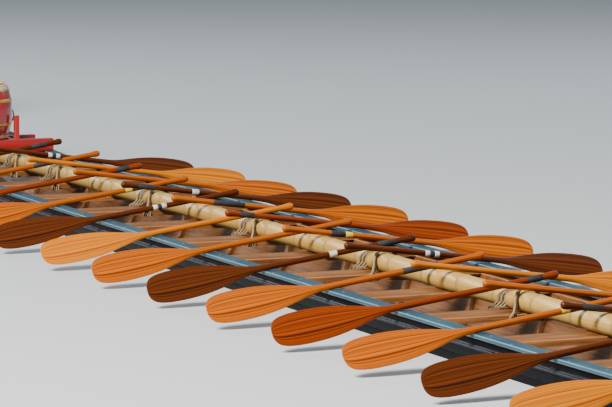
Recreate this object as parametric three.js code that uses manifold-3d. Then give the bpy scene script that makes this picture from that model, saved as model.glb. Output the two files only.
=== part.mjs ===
// A long wooden dragon boat: a dug-out log hull with a side plank on each edge, black outside,
// fourteen thwarts with a stiffening pole over them, a paddle laid at both ends of each thwart,
// a drum forward, a steering oar on an arm aft, and a carved dragon's head and tail on the two
// end blocks.
// Millimetres. X runs to the bow, Y to port, Z up, and Z = 0 is the waterline amidships.
import * as THREE from "three";
import { mergeVertices } from "three/addons/utils/BufferGeometryUtils.js";
import Module from "manifold-3d";

const wasm = await Module();
wasm.setup();

// Driving dimensions
const GAP = 0.3; // between pieces that touch
const HULL_HALF = 8300; // amidships to the tip of either end block
const HALF_BEAM = 550; // outside of the planking amidships
const TIP_HALF_BEAM = 30;
const FREEBOARD = 150; // waterline to the top of the gunwale cap
const DRAFT = 300;
const SHEER_RISE = 600; // how far each end sweeps up above the freeboard
const SHEER_START = 5000;
const KEEL_RISE = 850;
const KEEL_START = 3735;
const ROWS = 14;
const PITCH = 750; // from thwart to thwart
const PADDLE_LENGTH = 1400;

// Planking and what lies on it, mostly measured down or in from the gunwale
const CAP = { inboard: 62, outboard: 18, thick: 18 };
const LOG_EDGE_DROP = 110; // the log's top edge below the gunwale
const PLANK_THICK = 22;
const RUB = { top: 47, bottom: 70, out: 16 };
const THWART = { thick: 28, halfWidth: 100, endClear: 26 };
const RISER = { top: 44, bottom: 85, inboard: 56, end: 5250 };
const CAVITY_END = 7500; // the hollow of the log stops here, and its ends are solid
const LOG_END = 7900;
const FRAME = { halfThick: 15, deep: 28, meet: -164 }; // side frames meet floor timbers at this height
const FIT = 1.5; // clearance of a frame or keelson in the hollow of the log, whose faces twist a little
const FLOOR_RISE = 86; // top of the floor timbers above the log's underside
const BOARD_THICK = 14;

// Stations along one half of the hull. Both ends are alike.
const STATION_X = [0, 1500, 3000, 4000, 5000, 5400, 6050, 6400, 6700, 7100, 7500, 7900, 8100, 8300];
const STATIONS = STATION_X.map((x) => ({
  x,
  beam: THREE.MathUtils.lerp(HALF_BEAM, TIP_HALF_BEAM, (x / HULL_HALF) ** 4),
  sheer: FREEBOARD + SHEER_RISE * Math.max(0, (x - SHEER_START) / (HULL_HALF - SHEER_START)) ** 2,
  keel: -DRAFT + KEEL_RISE * Math.max(0, (x - KEEL_START) / (HULL_HALF - KEEL_START)) ** 2.4,
}));

// A station's value at any x, straight between stations as the planks are built.
function at(column, x) {
  const a = Math.min(Math.abs(x), HULL_HALF);
  const i = Math.max(1, STATIONS.findIndex((s) => s.x >= a));
  const [p, q] = [STATIONS[i - 1], STATIONS[i]];
  return THREE.MathUtils.mapLinear(a, p.x, q.x, p[column], q[column]);
}
const beam = (x) => at("beam", x);
const sheer = (x) => at("sheer", x);
const keel = (x) => at("keel", x);

// All the x values of a lofted piece: its two ends and the stations between them.
function span(from, to) {
  const all = [...STATION_X.map((x) => -x), ...STATION_X];
  const inside = all.filter((x) => x > from + 1 && x < to - 1);
  return [...new Set([from, ...inside, to])].sort((a, b) => a - b);
}

// Helpers that make closed meshes

// A closed mesh through rings of 3-D points, with flat ends. Faces point outwards.
function skin(rings) {
  const n = rings[0].length;
  const index = [];
  for (let i = 0; i < rings.length - 1; i++)
    for (let j = 0; j < n; j++) {
      const [a, b] = [i * n + j, i * n + ((j + 1) % n)];
      index.push(a, b, b + n, a, b + n, a + n);
    }
  for (const [ring, start] of [[rings[0], 0], [rings.at(-1), (rings.length - 1) * n]]) {
    const [origin, u, v] = planeOf(ring);
    const flat = ring.map((p) => {
      const off = p.clone().sub(origin);
      return new THREE.Vector2(off.dot(u), off.dot(v));
    });
    const turned = THREE.ShapeUtils.area(flat) > 0;
    for (const [a, b, c] of THREE.ShapeUtils.triangulateShape(flat, [])) {
      const corners = (start === 0) === turned ? [a, c, b] : [a, b, c];
      index.push(...corners.map((corner) => start + corner));
    }
  }
  const geometry = new THREE.BufferGeometry().setFromPoints(rings.flat()).setIndex(index);
  return signedVolume(geometry) < 0 ? turnedOver(geometry) : geometry;
}

// The centre of a ring and two directions in its plane.
function planeOf(ring) {
  const origin = ring.reduce((sum, p) => sum.add(p), new THREE.Vector3()).divideScalar(ring.length);
  const normal = new THREE.Vector3();
  ring.forEach((p, i) => {
    const next = ring[(i + 1) % ring.length];
    normal.add(p.clone().sub(origin).cross(next.clone().sub(origin)));
  });
  normal.normalize();
  const u = ring[0].clone().sub(origin).normalize();
  return [origin, u, normal.clone().cross(u)];
}

function signedVolume(geometry) {
  const position = geometry.attributes.position;
  const [a, b, c] = [new THREE.Vector3(), new THREE.Vector3(), new THREE.Vector3()];
  let six = 0;
  for (let i = 0; i < geometry.index.count; i += 3) {
    a.fromBufferAttribute(position, geometry.index.getX(i));
    b.fromBufferAttribute(position, geometry.index.getX(i + 1));
    c.fromBufferAttribute(position, geometry.index.getX(i + 2));
    six += a.dot(b.cross(c));
  }
  return six / 6;
}

function turnedOver(geometry) {
  const index = [...geometry.index.array];
  for (let i = 0; i < index.length; i += 3) [index[i], index[i + 1]] = [index[i + 1], index[i]];
  return geometry.setIndex(index);
}

// A piece that runs along the hull: section(x) gives its [y, z] points.
function loft(xs, section) {
  return skin(xs.map((x) => section(x).map(([y, z]) => new THREE.Vector3(x, y, z))));
}

// A piece along a path. Each row is { p: [x, y, z], w: half width across, d: half depth }.
function limb(rows, sides) {
  const points = rows.map((r) => new THREE.Vector3(...r.p));
  const across = new THREE.Vector3(0, 1, 0);
  return skin(
    rows.map((row, i) => {
      const before = points[Math.max(0, i - 1)];
      const after = points[Math.min(points.length - 1, i + 1)];
      const along = after.clone().sub(before).normalize();
      const depth = along.clone().cross(across).normalize();
      const width = depth.clone().cross(along).normalize();
      return Array.from({ length: sides }, (_, k) => {
        const angle = (2 * Math.PI * (k + 0.5)) / sides;
        return points[i]
          .clone()
          .addScaledVector(width, row.w * Math.cos(angle))
          .addScaledVector(depth, row.d * Math.sin(angle));
      });
    }),
  );
}

// A box from its low and high corners.
function block(low, high) {
  const size = low.map((v, i) => high[i] - v);
  return new THREE.BoxGeometry(...size).translate(...low.map((v, i) => (v + high[i]) / 2));
}

// A flat outline of [x, z] points, extruded across the boat between two y values.
function plate(points, yLow, yHigh) {
  const shape = new THREE.Shape(points.map(([x, z]) => new THREE.Vector2(x, z)));
  return new THREE.ExtrudeGeometry(shape, { depth: yHigh - yLow, bevelEnabled: false })
    .rotateX(Math.PI / 2)
    .translate(0, yHigh, 0);
}

// A flat outline of [y, z] points, extruded along the boat between two x values.
function slice(points, xLow, xHigh) {
  const shape = new THREE.Shape(points.map(([y, z]) => new THREE.Vector2(y, z)));
  return new THREE.ExtrudeGeometry(shape, { depth: xHigh - xLow, bevelEnabled: false })
    .rotateX(Math.PI / 2)
    .rotateZ(Math.PI / 2)
    .translate(xLow, 0, 0);
}

function toSolid(geometry) {
  const bare = geometry.index ? geometry.toNonIndexed() : geometry.clone();
  for (const name of Object.keys(bare.attributes)) if (name !== "position") bare.deleteAttribute(name);
  const merged = mergeVertices(bare, 1e-3);
  return new wasm.Manifold(
    new wasm.Mesh({
      numProp: 3,
      vertProperties: new Float32Array(merged.attributes.position.array),
      triVerts: new Uint32Array(merged.index.array),
    }),
  );
}

function toGeometry(solid) {
  const mesh = solid.getMesh();
  return new THREE.BufferGeometry()
    .setAttribute("position", new THREE.BufferAttribute(new Float32Array(mesh.vertProperties), 3))
    .setIndex(new THREE.BufferAttribute(new Uint32Array(mesh.triVerts), 1));
}

function joined(...pieces) {
  return toGeometry(pieces.map(toSolid).reduce((a, b) => a.add(b)));
}

function cut(piece, ...tools) {
  return toGeometry(tools.map(toSolid).reduce((a, b) => a.subtract(b), toSolid(piece)));
}

// Materials: colour, roughness, metalness
function finish(color, roughness, metalness = 0) {
  return new THREE.MeshStandardMaterial({ color, roughness, metalness });
}
const FINISH = {
  black: finish(0x0b0d12, 0.28),
  gunwale: finish(0x5f8791, 0.4),
  wood: finish(0x8a5a2c, 0.55),
  seat: finish(0xa06a35, 0.5),
  bamboo: finish(0xb79a5a, 0.5),
  paddle: finish(0xd07a22, 0.4),
  red: finish(0xa3161a, 0.4),
  gold: finish(0xc8921f, 0.4),
  hide: finish(0xe0d0ad, 0.7),
  bronze: finish(0x8c6a35, 0.4, 0.8),
};

const boat = new THREE.Group();
function add(name, geometry, material, parent = boat) {
  const mesh = new THREE.Mesh(geometry, material);
  mesh.name = name;
  parent.add(mesh);
  return mesh;
}
const SIDES = [["port", 1], ["starboard", -1]];

// The log: shares of the half beam and of its height, and the wall in from the outside and up from below
const LOG_SECTION = [
  { beam: 0.08, height: 0, wallIn: 44, wallUp: 36 },
  { beam: 0.55, height: 0.06, wallIn: 8, wallUp: 34 },
  { beam: 0.8, height: 0.22, wallIn: 24, wallUp: 20 },
  { beam: 0.93, height: 0.5, wallIn: 28, wallUp: 8 },
  { beam: 0.985, height: 0.8, wallIn: 26, wallUp: 2 },
  { beam: 1, height: 1, wallIn: 24, wallUp: 0 },
];
const logTop = (x) => sheer(x) - LOG_EDGE_DROP;
const bothSides = (half) => [...half.map(([y, z]) => [-y, z]).reverse(), ...half];
const OPEN_TOP = 100; // how far the tool that hollows the log stands out of its top

function logOutside(x, grow = 0) {
  return LOG_SECTION.map((r) => [
    r.beam * beam(x) + grow,
    THREE.MathUtils.lerp(keel(x), logTop(x), r.height) - grow * (1 - r.height),
  ]);
}
function logInside(x) {
  return LOG_SECTION.map((r, i) => [
    i === 0 ? 0 : r.beam * beam(x) - r.wallIn,
    THREE.MathUtils.lerp(keel(x), logTop(x), r.height) + r.wallUp,
  ]);
}

function hullLog() {
  const outer = loft(span(-LOG_END, LOG_END), (x) => bothSides(logOutside(x)));
  const hollow = loft(span(-CAVITY_END, CAVITY_END), (x) => {
    const [bottom, ...side] = logInside(x);
    const [edgeY, edgeZ] = side.at(-1);
    const open = [...side, [edgeY, edgeZ + OPEN_TOP]];
    return [...open.map(([y, z]) => [-y, z]).reverse(), bottom, ...open];
  });
  return cut(outer, hollow);
}
add("hull_log", hullLog(), FINISH.black);

// Solid timbers that close the two ends, and carry the head and the tail
function endBlock(sign, grow = 0) {
  const xs = [LOG_END + GAP - grow, 8100, HULL_HALF, HULL_HALF + 40 + grow];
  return loft(xs.map((x) => sign * x), (x) => {
    const past = Math.abs(x) > HULL_HALF ? 0.45 : 1;
    const half = logOutside(x, grow).map(([y, z]) => [y * past, z]);
    return bothSides([...half, [beam(x) * past + grow, sheer(x) + grow]]);
  });
}
add("stem_block", endBlock(1), FINISH.black);
add("stern_block", endBlock(-1), FINISH.black);

// A long strip on one side of the boat, from a section drawn for port
function sideStrip(sign, from, to, section) {
  return loft(span(from, to), (x) => section(x).map(([y, z]) => [sign * y, z]));
}

const ROW_X = Array.from({ length: ROWS }, (_, i) => (i - (ROWS - 1) / 2) * PITCH);
const SIDE_FRAME_X = [-6350, -5600, ...ROW_X, 5600, 6350];
const mix = (p, q, share) => p.map((v, i) => THREE.MathUtils.lerp(v, q[i], share));
const shareAt = (z, p, q) => (z - p[1]) / (q[1] - p[1]);

// A side frame hangs from the plank, down the inside of the log
function sideFrame(x, sign) {
  const narrow = Math.abs(x) + FRAME.halfThick;
  const wide = Math.max(0, Math.abs(x) - FRAME.halfThick);
  const [, , bilge, flank, top, edge] = logInside(narrow).map(([y, z]) => [y - FIT, z + FIT / 2]);
  const foot = mix(flank, bilge, Math.min(0.6, shareAt(FRAME.meet + 3, flank, bilge)));
  const low = logTop(narrow) + GAP;
  const high = sheer(wide) - RISER.bottom - GAP;
  const inPlank = beam(narrow) - PLANK_THICK / 2;
  const outline = [
    foot,
    flank,
    top,
    [edge[0], low],
    [inPlank, low],
    [inPlank, high],
    [edge[0] - FRAME.deep, high],
    [flank[0] - FRAME.deep, flank[1] + 4],
    [foot[0] - FRAME.deep, foot[1] + 4],
  ];
  return slice(outline.map(([y, z]) => [sign * y, z]), x - FRAME.halfThick, x + FRAME.halfThick);
}

function sidePlank(sign) {
  const plank = sideStrip(sign, -LOG_END, LOG_END, (x) => [
    [beam(x), logTop(x) + GAP],
    [beam(x), sheer(x) - CAP.thick - GAP],
    [beam(x) - PLANK_THICK, sheer(x) - CAP.thick - GAP],
    [beam(x) - PLANK_THICK, logTop(x) + GAP],
  ]);
  return joined(plank, ...SIDE_FRAME_X.map((x) => sideFrame(x, sign)));
}

for (const [side, sign] of SIDES) {
  add(`side_plank_${side}`, sidePlank(sign), FINISH.black);
  add(
    `gunwale_cap_${side}`,
    sideStrip(sign, -LOG_END, LOG_END, (x) => [
      [beam(x) + CAP.outboard, sheer(x) - CAP.thick],
      [beam(x) + CAP.outboard, sheer(x)],
      [beam(x) - CAP.inboard, sheer(x)],
      [beam(x) - CAP.inboard, sheer(x) - CAP.thick],
    ]),
    FINISH.gunwale,
  );
  add(
    `rub_rail_${side}`,
    sideStrip(sign, -LOG_END, LOG_END, (x) => [
      [beam(x) + GAP, sheer(x) - RUB.bottom],
      [beam(x) + 0.75 * RUB.out, sheer(x) - RUB.bottom + 3],
      [beam(x) + RUB.out, sheer(x) - (RUB.top + RUB.bottom) / 2],
      [beam(x) + 0.75 * RUB.out, sheer(x) - RUB.top - 3],
      [beam(x) + GAP, sheer(x) - RUB.top],
    ]),
    FINISH.black,
  );
}

// Inside: floor timbers and keelson are one frame
const KEELSON = { half: 40, end: 4950, proud: 4 }; // proud of the floor timbers
const floorTop = (x) => keel(x) + FLOOR_RISE;
const thwartTop = (x) => sheer(x) - CAP.thick - GAP;
const thwartUnder = (x) => thwartTop(x) - THWART.thick;

function floorTimber(x) {
  const narrow = Math.abs(x) + FRAME.halfThick;
  const wide = Math.max(0, Math.abs(x) - FRAME.halfThick);
  const [, turn, bilge, flank] = logInside(narrow).map(([y, z]) => [y - FIT, z + FIT / 2]);
  const bottom = keel(narrow) + LOG_SECTION[0].wallUp + GAP;
  const level = floorTop(wide);
  const end = mix(bilge, flank, shareAt(FRAME.meet - 3, bilge, flank));
  const half = [[0, bottom], turn, bilge, end, [end[0] - FRAME.deep, end[1] + 2], [bilge[0] - 60, level]];
  const outline = [...half, ...half.slice(1).map(([y, z]) => [-y, z]).reverse()];
  return slice(outline, x - FRAME.halfThick, x + FRAME.halfThick);
}

function frames() {
  const keelson = loft(span(-KEELSON.end, KEELSON.end), (x) => {
    const low = keel(x) + LOG_SECTION[0].wallUp + GAP + 2 * FIT;
    const high = floorTop(x) + KEELSON.proud;
    return [[-KEELSON.half, low], [-KEELSON.half, high], [KEELSON.half, high], [KEELSON.half, low]];
  });
  return joined(keelson, ...ROW_X.map(floorTimber));
}
add("frames_and_keelson", frames(), FINISH.wood);

// Thwarts on a riser along each side
function seatFrame() {
  const risers = SIDES.map(([, sign]) =>
    sideStrip(sign, -RISER.end, RISER.end, (x) => [
      [beam(x) - PLANK_THICK - GAP, sheer(x) - RISER.bottom],
      [beam(x) - PLANK_THICK - GAP, sheer(x) - RISER.top],
      [beam(x) - RISER.inboard, sheer(x) - RISER.top],
      [beam(x) - RISER.inboard, sheer(x) - RISER.bottom],
    ]),
  );
  const thwarts = ROW_X.map((x) => {
    const half = beam(Math.abs(x) + THWART.halfWidth) - THWART.endClear;
    return block([x - THWART.halfWidth, -half, thwartUnder(x)], [x + THWART.halfWidth, half, thwartTop(x)]);
  });
  return joined(...risers, ...thwarts);
}
add("seat_frame", seatFrame(), FINISH.seat);

for (const [side, sign] of SIDES)
  add(
    `floorboard_${side}`,
    sideStrip(sign, -KEELSON.end, KEELSON.end, (x) => [
      [KEELSON.half + 6, floorTop(x) + GAP],
      [KEELSON.half + 6, floorTop(x) + GAP + BOARD_THICK],
      [0.8 * beam(x) - 100, floorTop(x) + GAP + BOARD_THICK],
      [0.8 * beam(x) - 100, floorTop(x) + GAP],
    ]),
    FINISH.wood,
  );

// The stiffening pole lies along the thwarts
const POLE = { radius: 48, half: 5250, sides: 16 };
const poleCentre = thwartTop(0) + GAP + POLE.radius * Math.cos(Math.PI / POLE.sides);
add(
  "stiffening_pole",
  new THREE.CylinderGeometry(POLE.radius, POLE.radius, 2 * POLE.half, POLE.sides)
    .rotateY(Math.PI / POLE.sides)
    .rotateZ(Math.PI / 2)
    .translate(0, 0, poleCentre),
  FINISH.bamboo,
);

// Small decks under the caps at both ends, and a platform across the gunwales aft
const DECK = { start: 6850, thick: 18 };
const PLATFORM = { aft: -6050, fore: -5400, thick: 22, overhang: 8 };

function deck(from, to) {
  return loft(span(from, to), (x) => {
    const y = beam(x) - PLANK_THICK - GAP;
    const top = sheer(x) - CAP.thick - GAP;
    return [[-y, top - DECK.thick], [-y, top], [y, top], [y, top - DECK.thick]];
  });
}
add("bow_deck", deck(DECK.start, LOG_END - GAP), FINISH.wood);
add("stern_deck", deck(-LOG_END + GAP, -DECK.start), FINISH.wood);

function helmPlatform() {
  return loft(span(PLATFORM.aft, PLATFORM.fore), (x) => {
    const [y, low] = [beam(x) + PLATFORM.overhang, sheer(x) + GAP];
    const high = low + PLATFORM.thick;
    return [[-y, low], [-y, high], [y, high], [y, low]];
  });
}
add("helm_platform", helmPlatform(), FINISH.seat);

// The drum on its stand, across the gunwales forward of the first thwart
const DRUM = { x: 5700, base: 250, height: 340, headRadius: 180, bellyRadius: 212 };

// Its stand: two beams across the gunwales, two rails between them, and a post at each crossing
const STAND = { beamOff: 140, beamHalf: 25, railOff: 202, railHalf: 15, postUp: 150 };

function drumStand() {
  const { beamOff, beamHalf, railOff, railHalf, postUp } = STAND;
  const pieces = [];
  for (const x of [DRUM.x - beamOff, DRUM.x + beamOff]) {
    const half = beam(x) - 4;
    pieces.push(block([x - beamHalf, -half, sheer(x + beamHalf) + GAP], [x + beamHalf, half, DRUM.base]));
    for (const y of [-railOff, railOff]) {
      const foot = [x - railHalf, y - railHalf, DRUM.base - 20];
      pieces.push(block(foot, [x + railHalf, y + railHalf, DRUM.base + postUp]));
    }
  }
  for (const y of [-railOff, railOff]) {
    const low = [DRUM.x - beamOff, y - railHalf, DRUM.base - 38];
    pieces.push(block(low, [DRUM.x + beamOff, y + railHalf, DRUM.base - 3]));
  }
  return joined(...pieces);
}
add("drum_stand", drumStand(), FINISH.red);

function drum() {
  const { height, headRadius, bellyRadius } = DRUM;
  const profile = [
    [0, 0],
    [headRadius, 0],
    [bellyRadius - 8, 0.3 * height],
    [bellyRadius, 0.5 * height],
    [bellyRadius - 8, 0.7 * height],
    [headRadius, height],
    [0, height],
  ].map(([r, h]) => new THREE.Vector2(r, h));
  return new THREE.LatheGeometry(profile, 20).rotateX(Math.PI / 2).translate(DRUM.x, 0, DRUM.base + GAP);
}
add("drum", drum(), FINISH.red);

// The drummer's seat: two end boards on the caps, a seat plank and a stretcher
const STOOL = { x: 6400, seatTop: 545, endBoard: 330, halfThick: 12 };
function drummerSeat() {
  const [aft, fore] = [STOOL.x - 150, STOOL.x + 150];
  const ends = [-1, 1].map((sign) => {
    const y = sign * STOOL.endBoard;
    const outline = [
      [aft, sheer(aft) + GAP],
      [STOOL.x, sheer(STOOL.x) + GAP],
      [fore, sheer(fore) + GAP],
      [STOOL.x + 110, STOOL.seatTop - 20],
      [STOOL.x - 110, STOOL.seatTop - 20],
    ];
    return plate(outline, y - STOOL.halfThick, y + STOOL.halfThick);
  });
  const seat = block([STOOL.x - 120, -350, STOOL.seatTop - 25], [STOOL.x + 120, 350, STOOL.seatTop]);
  const stretcher = block([STOOL.x - 12, -325, 390], [STOOL.x + 12, 325, 430]);
  return joined(...ends, seat, stretcher);
}
add("drummer_seat", drummerSeat(), FINISH.seat);

// Steering: an arm across the gunwales, a crutch that swivels in it, and the oar on the crutch's pin
const ARM = { x: -6700, half: 30, thick: 62, reach: 190, stub: 12 };
const armTop = sheer(ARM.x) + ARM.thick;
const LOCK = { x: ARM.x, y: beam(ARM.x) + 150, z: armTop + 72 };
const SHANK = { radius: 11, bore: 11.6, deep: 52 };
const CRUTCH = { inner: 36, outer: 50, half: 17, under: 38, horn: 40, pin: 6, pinBore: 6.5 };

function steeringArm() {
  const arm = loft([ARM.x - ARM.half, ARM.x + ARM.half], (x) => [
    [-beam(ARM.x) - ARM.stub, sheer(x) + GAP],
    [-beam(ARM.x) - ARM.stub, armTop],
    [beam(ARM.x) + ARM.reach, armTop],
    [beam(ARM.x) + ARM.reach, sheer(x) + GAP],
  ]);
  const bore = new THREE.CylinderGeometry(SHANK.bore, SHANK.bore, 200, 16)
    .rotateX(Math.PI / 2)
    .translate(LOCK.x, LOCK.y, armTop);
  return cut(arm, bore);
}
add("steering_arm", steeringArm(), FINISH.wood);

function crutch() {
  const { inner, outer, half, under, horn, pin } = CRUTCH;
  const [base, top] = [-under - 14, horn];
  const outside = [
    [-outer, top],
    [-outer, -18],
    [-outer + 14, base],
    [outer - 14, base],
    [outer, -18],
    [outer, top],
  ];
  const inside = [
    [inner, top],
    [inner, -under + 12],
    [inner - 12, -under],
    [-inner + 12, -under],
    [-inner, -under + 12],
    [-inner, top],
  ];
  const yoke = slice([...outside, ...inside], -half, half);
  const rod = (radius, low, high) =>
    new THREE.CylinderGeometry(radius, radius, high - low, 16)
      .rotateX(Math.PI / 2)
      .translate(0, 0, (low + high) / 2);
  const collarLow = armTop + GAP - LOCK.z;
  const collar = rod(24, collarLow, base + 4);
  const shank = rod(SHANK.radius, collarLow - SHANK.deep, collarLow + 4);
  const crossPin = new THREE.CylinderGeometry(pin, pin, 2 * outer + 12, 12);
  return joined(yoke, collar, shank, crossPin);
}
add("crutch", crutch(), FINISH.bronze).position.set(LOCK.x, LOCK.y, LOCK.z);

// The steering oar, drawn along X from its blade to its handle, with its pin hole at the origin
const OAR_SLOPE = 17; // degrees down towards the blade
const OAR_SHAFT = [
  { x: -1620, r: 21 }, { x: -400, r: 26 }, { x: 400, r: 26 }, { x: 950, r: 19 },
  { x: 1300, r: 18 }, { x: 1312, r: 24 }, { x: 1340, r: 24 }, { x: 1350, r: 12 },
];
const OAR_BLADE = [
  // x, half height of the blade, half thickness
  { x: -2350, high: 40, thick: 5 },
  { x: -2325, high: 82, thick: 8 },
  { x: -2200, high: 100, thick: 10 },
  { x: -1950, high: 96, thick: 13 },
  { x: -1750, high: 62, thick: 16 },
  { x: -1560, high: 20, thick: 18 },
];
function steeringOar() {
  const ring = (x, y, z, n) =>
    Array.from({ length: n }, (_, k) => {
      const angle = (2 * Math.PI * (k + 0.5)) / n;
      return new THREE.Vector3(x, y * Math.cos(angle), z * Math.sin(angle));
    });
  const shaft = skin(OAR_SHAFT.map(({ x, r }) => ring(x, r, r, 12)));
  const blade = skin(OAR_BLADE.map(({ x, high, thick }) => ring(x, thick, high, 12)));
  const pinHole = new THREE.CylinderGeometry(CRUTCH.pinBore, CRUTCH.pinBore, 200, 12);
  return cut(joined(shaft, blade), pinHole);
}
const oar = add("steering_oar", steeringOar(), FINISH.paddle);
oar.position.set(LOCK.x, LOCK.y, LOCK.z);
oar.rotation.y = -THREE.MathUtils.degToRad(OAR_SLOPE);

// A paddle along X: the blade's tip at 0 and the end of the grip at the paddle's length
const PADDLE_FORM = [
  // distance from the tip, half width, half thickness
  { x: 0, w: 34, t: 3.5 },
  { x: 22, w: 60, t: 4.5 },
  { x: 80, w: 76, t: 5.5 },
  { x: 200, w: 80, t: 7 },
  { x: 340, w: 66, t: 9 },
  { x: 470, w: 36, t: 12 },
  { x: 575, w: 15, t: 15 },
  { x: PADDLE_LENGTH - 60, w: 15, t: 15 },
  { x: PADDLE_LENGTH - 34, w: 20, t: 20 },
  { x: PADDLE_LENGTH, w: 12, t: 12 },
];
const PADDLE_SIDES = 8;
const SHAFT_CORNER = 15 / Math.cos(Math.PI / PADDLE_SIDES); // from the shaft's centre to its corners
const BEARING = 600; // distance from the tip to where the shaft lies on the gunwale
const ROW_OFFSET = 80; // port paddles lie this far forward of the thwart, starboard ones this far aft
const BLADE_ROLL = [58, 66, 61, 54, 63]; // degrees that the blades' faces stand up from flat, in turn

const paddleGeometry = skin(
  PADDLE_FORM.map(({ x, w, t }) =>
    Array.from({ length: PADDLE_SIDES }, (_, k) => {
      const angle = (2 * Math.PI * (k + 0.5)) / PADDLE_SIDES;
      const corner = 1 / Math.cos(Math.PI / PADDLE_SIDES);
      return new THREE.Vector3(x, w * corner * Math.cos(angle), t * corner * Math.sin(angle));
    }),
  ),
);

// A paddle lies on the outer edge of the gunwale and on the pole, blade outboard and low.
function layPaddle(name, x, sign, roll) {
  const [edgeY, edgeZ] = [beam(Math.abs(x) - SHAFT_CORNER) + CAP.outboard, sheer(x)];
  const step = 360 / PADDLE_SIDES;
  const fromCorner = Math.abs(THREE.MathUtils.euclideanModulo(roll, step) - step / 2);
  const reach = SHAFT_CORNER * Math.cos(THREE.MathUtils.degToRad(fromCorner)) + GAP;
  const drop = edgeZ - poleCentre;
  const slope = Math.asin(POLE.radius / Math.hypot(edgeY, drop)) - Math.atan2(drop, edgeY);
  const bearing = new THREE.Vector2(edgeY + reach * Math.sin(slope), edgeZ + reach * Math.cos(slope));
  const [tipY, tipZ] = [bearing.x + BEARING * Math.cos(slope), bearing.y - BEARING * Math.sin(slope)];
  const holder = new THREE.Group();
  holder.position.set(x, sign * tipY, tipZ);
  holder.rotation.order = "ZYX";
  holder.rotation.z = (-sign * Math.PI) / 2;
  holder.rotation.y = -slope;
  holder.rotation.x = sign * THREE.MathUtils.degToRad(roll);
  boat.add(holder);
  add(name, paddleGeometry, FINISH.paddle, holder);
}
ROW_X.forEach((x, i) => {
  const row = String(i + 1).padStart(2, "0");
  layPaddle(`paddle_port_${row}`, x + ROW_OFFSET, 1, BLADE_ROLL[i % 5]);
  layPaddle(`paddle_starboard_${row}`, x - ROW_OFFSET, -1, BLADE_ROLL[(i + 2) % 5]);
});

// The dragon: each row is a point on the middle line, then the half width and the half depth there
const NECK_ROWS = [
  { p: [8085, 0, 600], w: 52, d: 70 },
  { p: [8120, 0, 690], w: 70, d: 110 },
  { p: [8190, 0, 820], w: 86, d: 134 },
  { p: [8300, 0, 960], w: 90, d: 126 },
  { p: [8370, 0, 1100], w: 84, d: 106 },
  { p: [8390, 0, 1250], w: 86, d: 100 },
  { p: [8430, 0, 1400], w: 96, d: 110 },
];
const SKULL_ROWS = [
  { p: [8330, 0, 1420], w: 70, d: 80 },
  { p: [8420, 0, 1455], w: 112, d: 118 },
  { p: [8560, 0, 1480], w: 128, d: 118 },
  { p: [8680, 0, 1470], w: 108, d: 84 },
  { p: [8830, 0, 1455], w: 84, d: 58 },
  { p: [8990, 0, 1475], w: 88, d: 66 },
  { p: [9060, 0, 1470], w: 60, d: 46 },
];
const JAW_ROWS = [
  { p: [8440, 0, 1300], w: 74, d: 40 },
  { p: [8580, 0, 1288], w: 84, d: 40 },
  { p: [8760, 0, 1262], w: 68, d: 32 },
  { p: [8930, 0, 1252], w: 50, d: 28 },
  { p: [8985, 0, 1268], w: 26, d: 20 },
];
const TONGUE_ROWS = [
  { p: [8600, 0, 1332], w: 34, d: 11 },
  { p: [8760, 0, 1300], w: 34, d: 9 },
  { p: [8900, 0, 1312], w: 28, d: 7 },
  { p: [8990, 0, 1362], w: 10, d: 4 },
];
const HORN_ROWS = [
  { p: [8540, 56, 1500], w: 36, d: 36 },
  { p: [8480, 76, 1590], w: 32, d: 32 },
  { p: [8405, 98, 1668], w: 27, d: 27 },
  { p: [8270, 122, 1730], w: 22, d: 22 },
  { p: [8120, 138, 1830], w: 10, d: 10 },
];
const HORN_BRANCH_ROWS = [
  { p: [8400, 98, 1668], w: 18, d: 18 },
  { p: [8390, 120, 1760], w: 15, d: 15 },
  { p: [8330, 136, 1860], w: 6, d: 6 },
];
// Where the flames of the mane stand: up the back of the neck and over the crown
const MANE_ROWS = [
  ...NECK_ROWS.slice(1, 6),
  { p: [8420, 0, 1400], d: 136 },
  { p: [8485, 0, 1465], d: 146 },
  { p: [8610, 0, 1490], d: 126 },
];
const TAIL_ROWS = [
  { p: [-8085, 0, 600], w: 50, d: 66 },
  { p: [-8120, 0, 690], w: 68, d: 104 },
  { p: [-8205, 0, 830], w: 80, d: 120 },
  { p: [-8350, 0, 980], w: 76, d: 108 },
  { p: [-8520, 0, 1130], w: 62, d: 88 },
  { p: [-8640, 0, 1300], w: 48, d: 72 },
  { p: [-8640, 0, 1480], w: 36, d: 56 },
  { p: [-8540, 0, 1620], w: 22, d: 36 },
  { p: [-8430, 0, 1690], w: 8, d: 10 },
];
const FLAME = { half: 14, root: 20 };
const FLAME_CURVE = [[0.28, 0.5], [0.6, 0.86], [1.02, 1], [0.84, 0.5]]; // shares of its length and reach

// A row of flames along the back of a limb: roots just off its skin, tips swept on along it
function flames(rows, count, reach) {
  const spine = rows.map(({ p, d }) => [p[0], p[2], d]);
  const ways = spine.map((_, i) => {
    const [before, after] = [spine[Math.max(0, i - 1)], spine[Math.min(rows.length - 1, i + 1)]];
    return [after[0] - before[0], after[1] - before[1]];
  });
  const place = (share, out) => {
    const t = Math.min(share, 0.9999) * (rows.length - 1);
    const i = Math.floor(t);
    const [x, z, depth] = mix(spine[i], spine[i + 1], t - i);
    const [ax, az] = mix(ways[i], ways[i + 1], t - i);
    const off = out === null ? 0 : (depth + out) / Math.hypot(ax, az);
    return [x - az * off, z + ax * off];
  };
  const outline = [];
  for (let k = 0; k < count; k++) {
    const size = 0.55 + 0.45 * Math.sin((Math.PI * (k + 0.5)) / count);
    outline.push(place(k / count, FLAME.root));
    for (const [along, out] of FLAME_CURVE) outline.push(place((k + along) / count, reach * size * out));
  }
  outline.push(place(1, FLAME.root));
  const middle = rows.map((_, i) => place(i / (rows.length - 1), null)).reverse();
  return plate([...outline, ...middle], -FLAME.half, FLAME.half);
}

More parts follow.
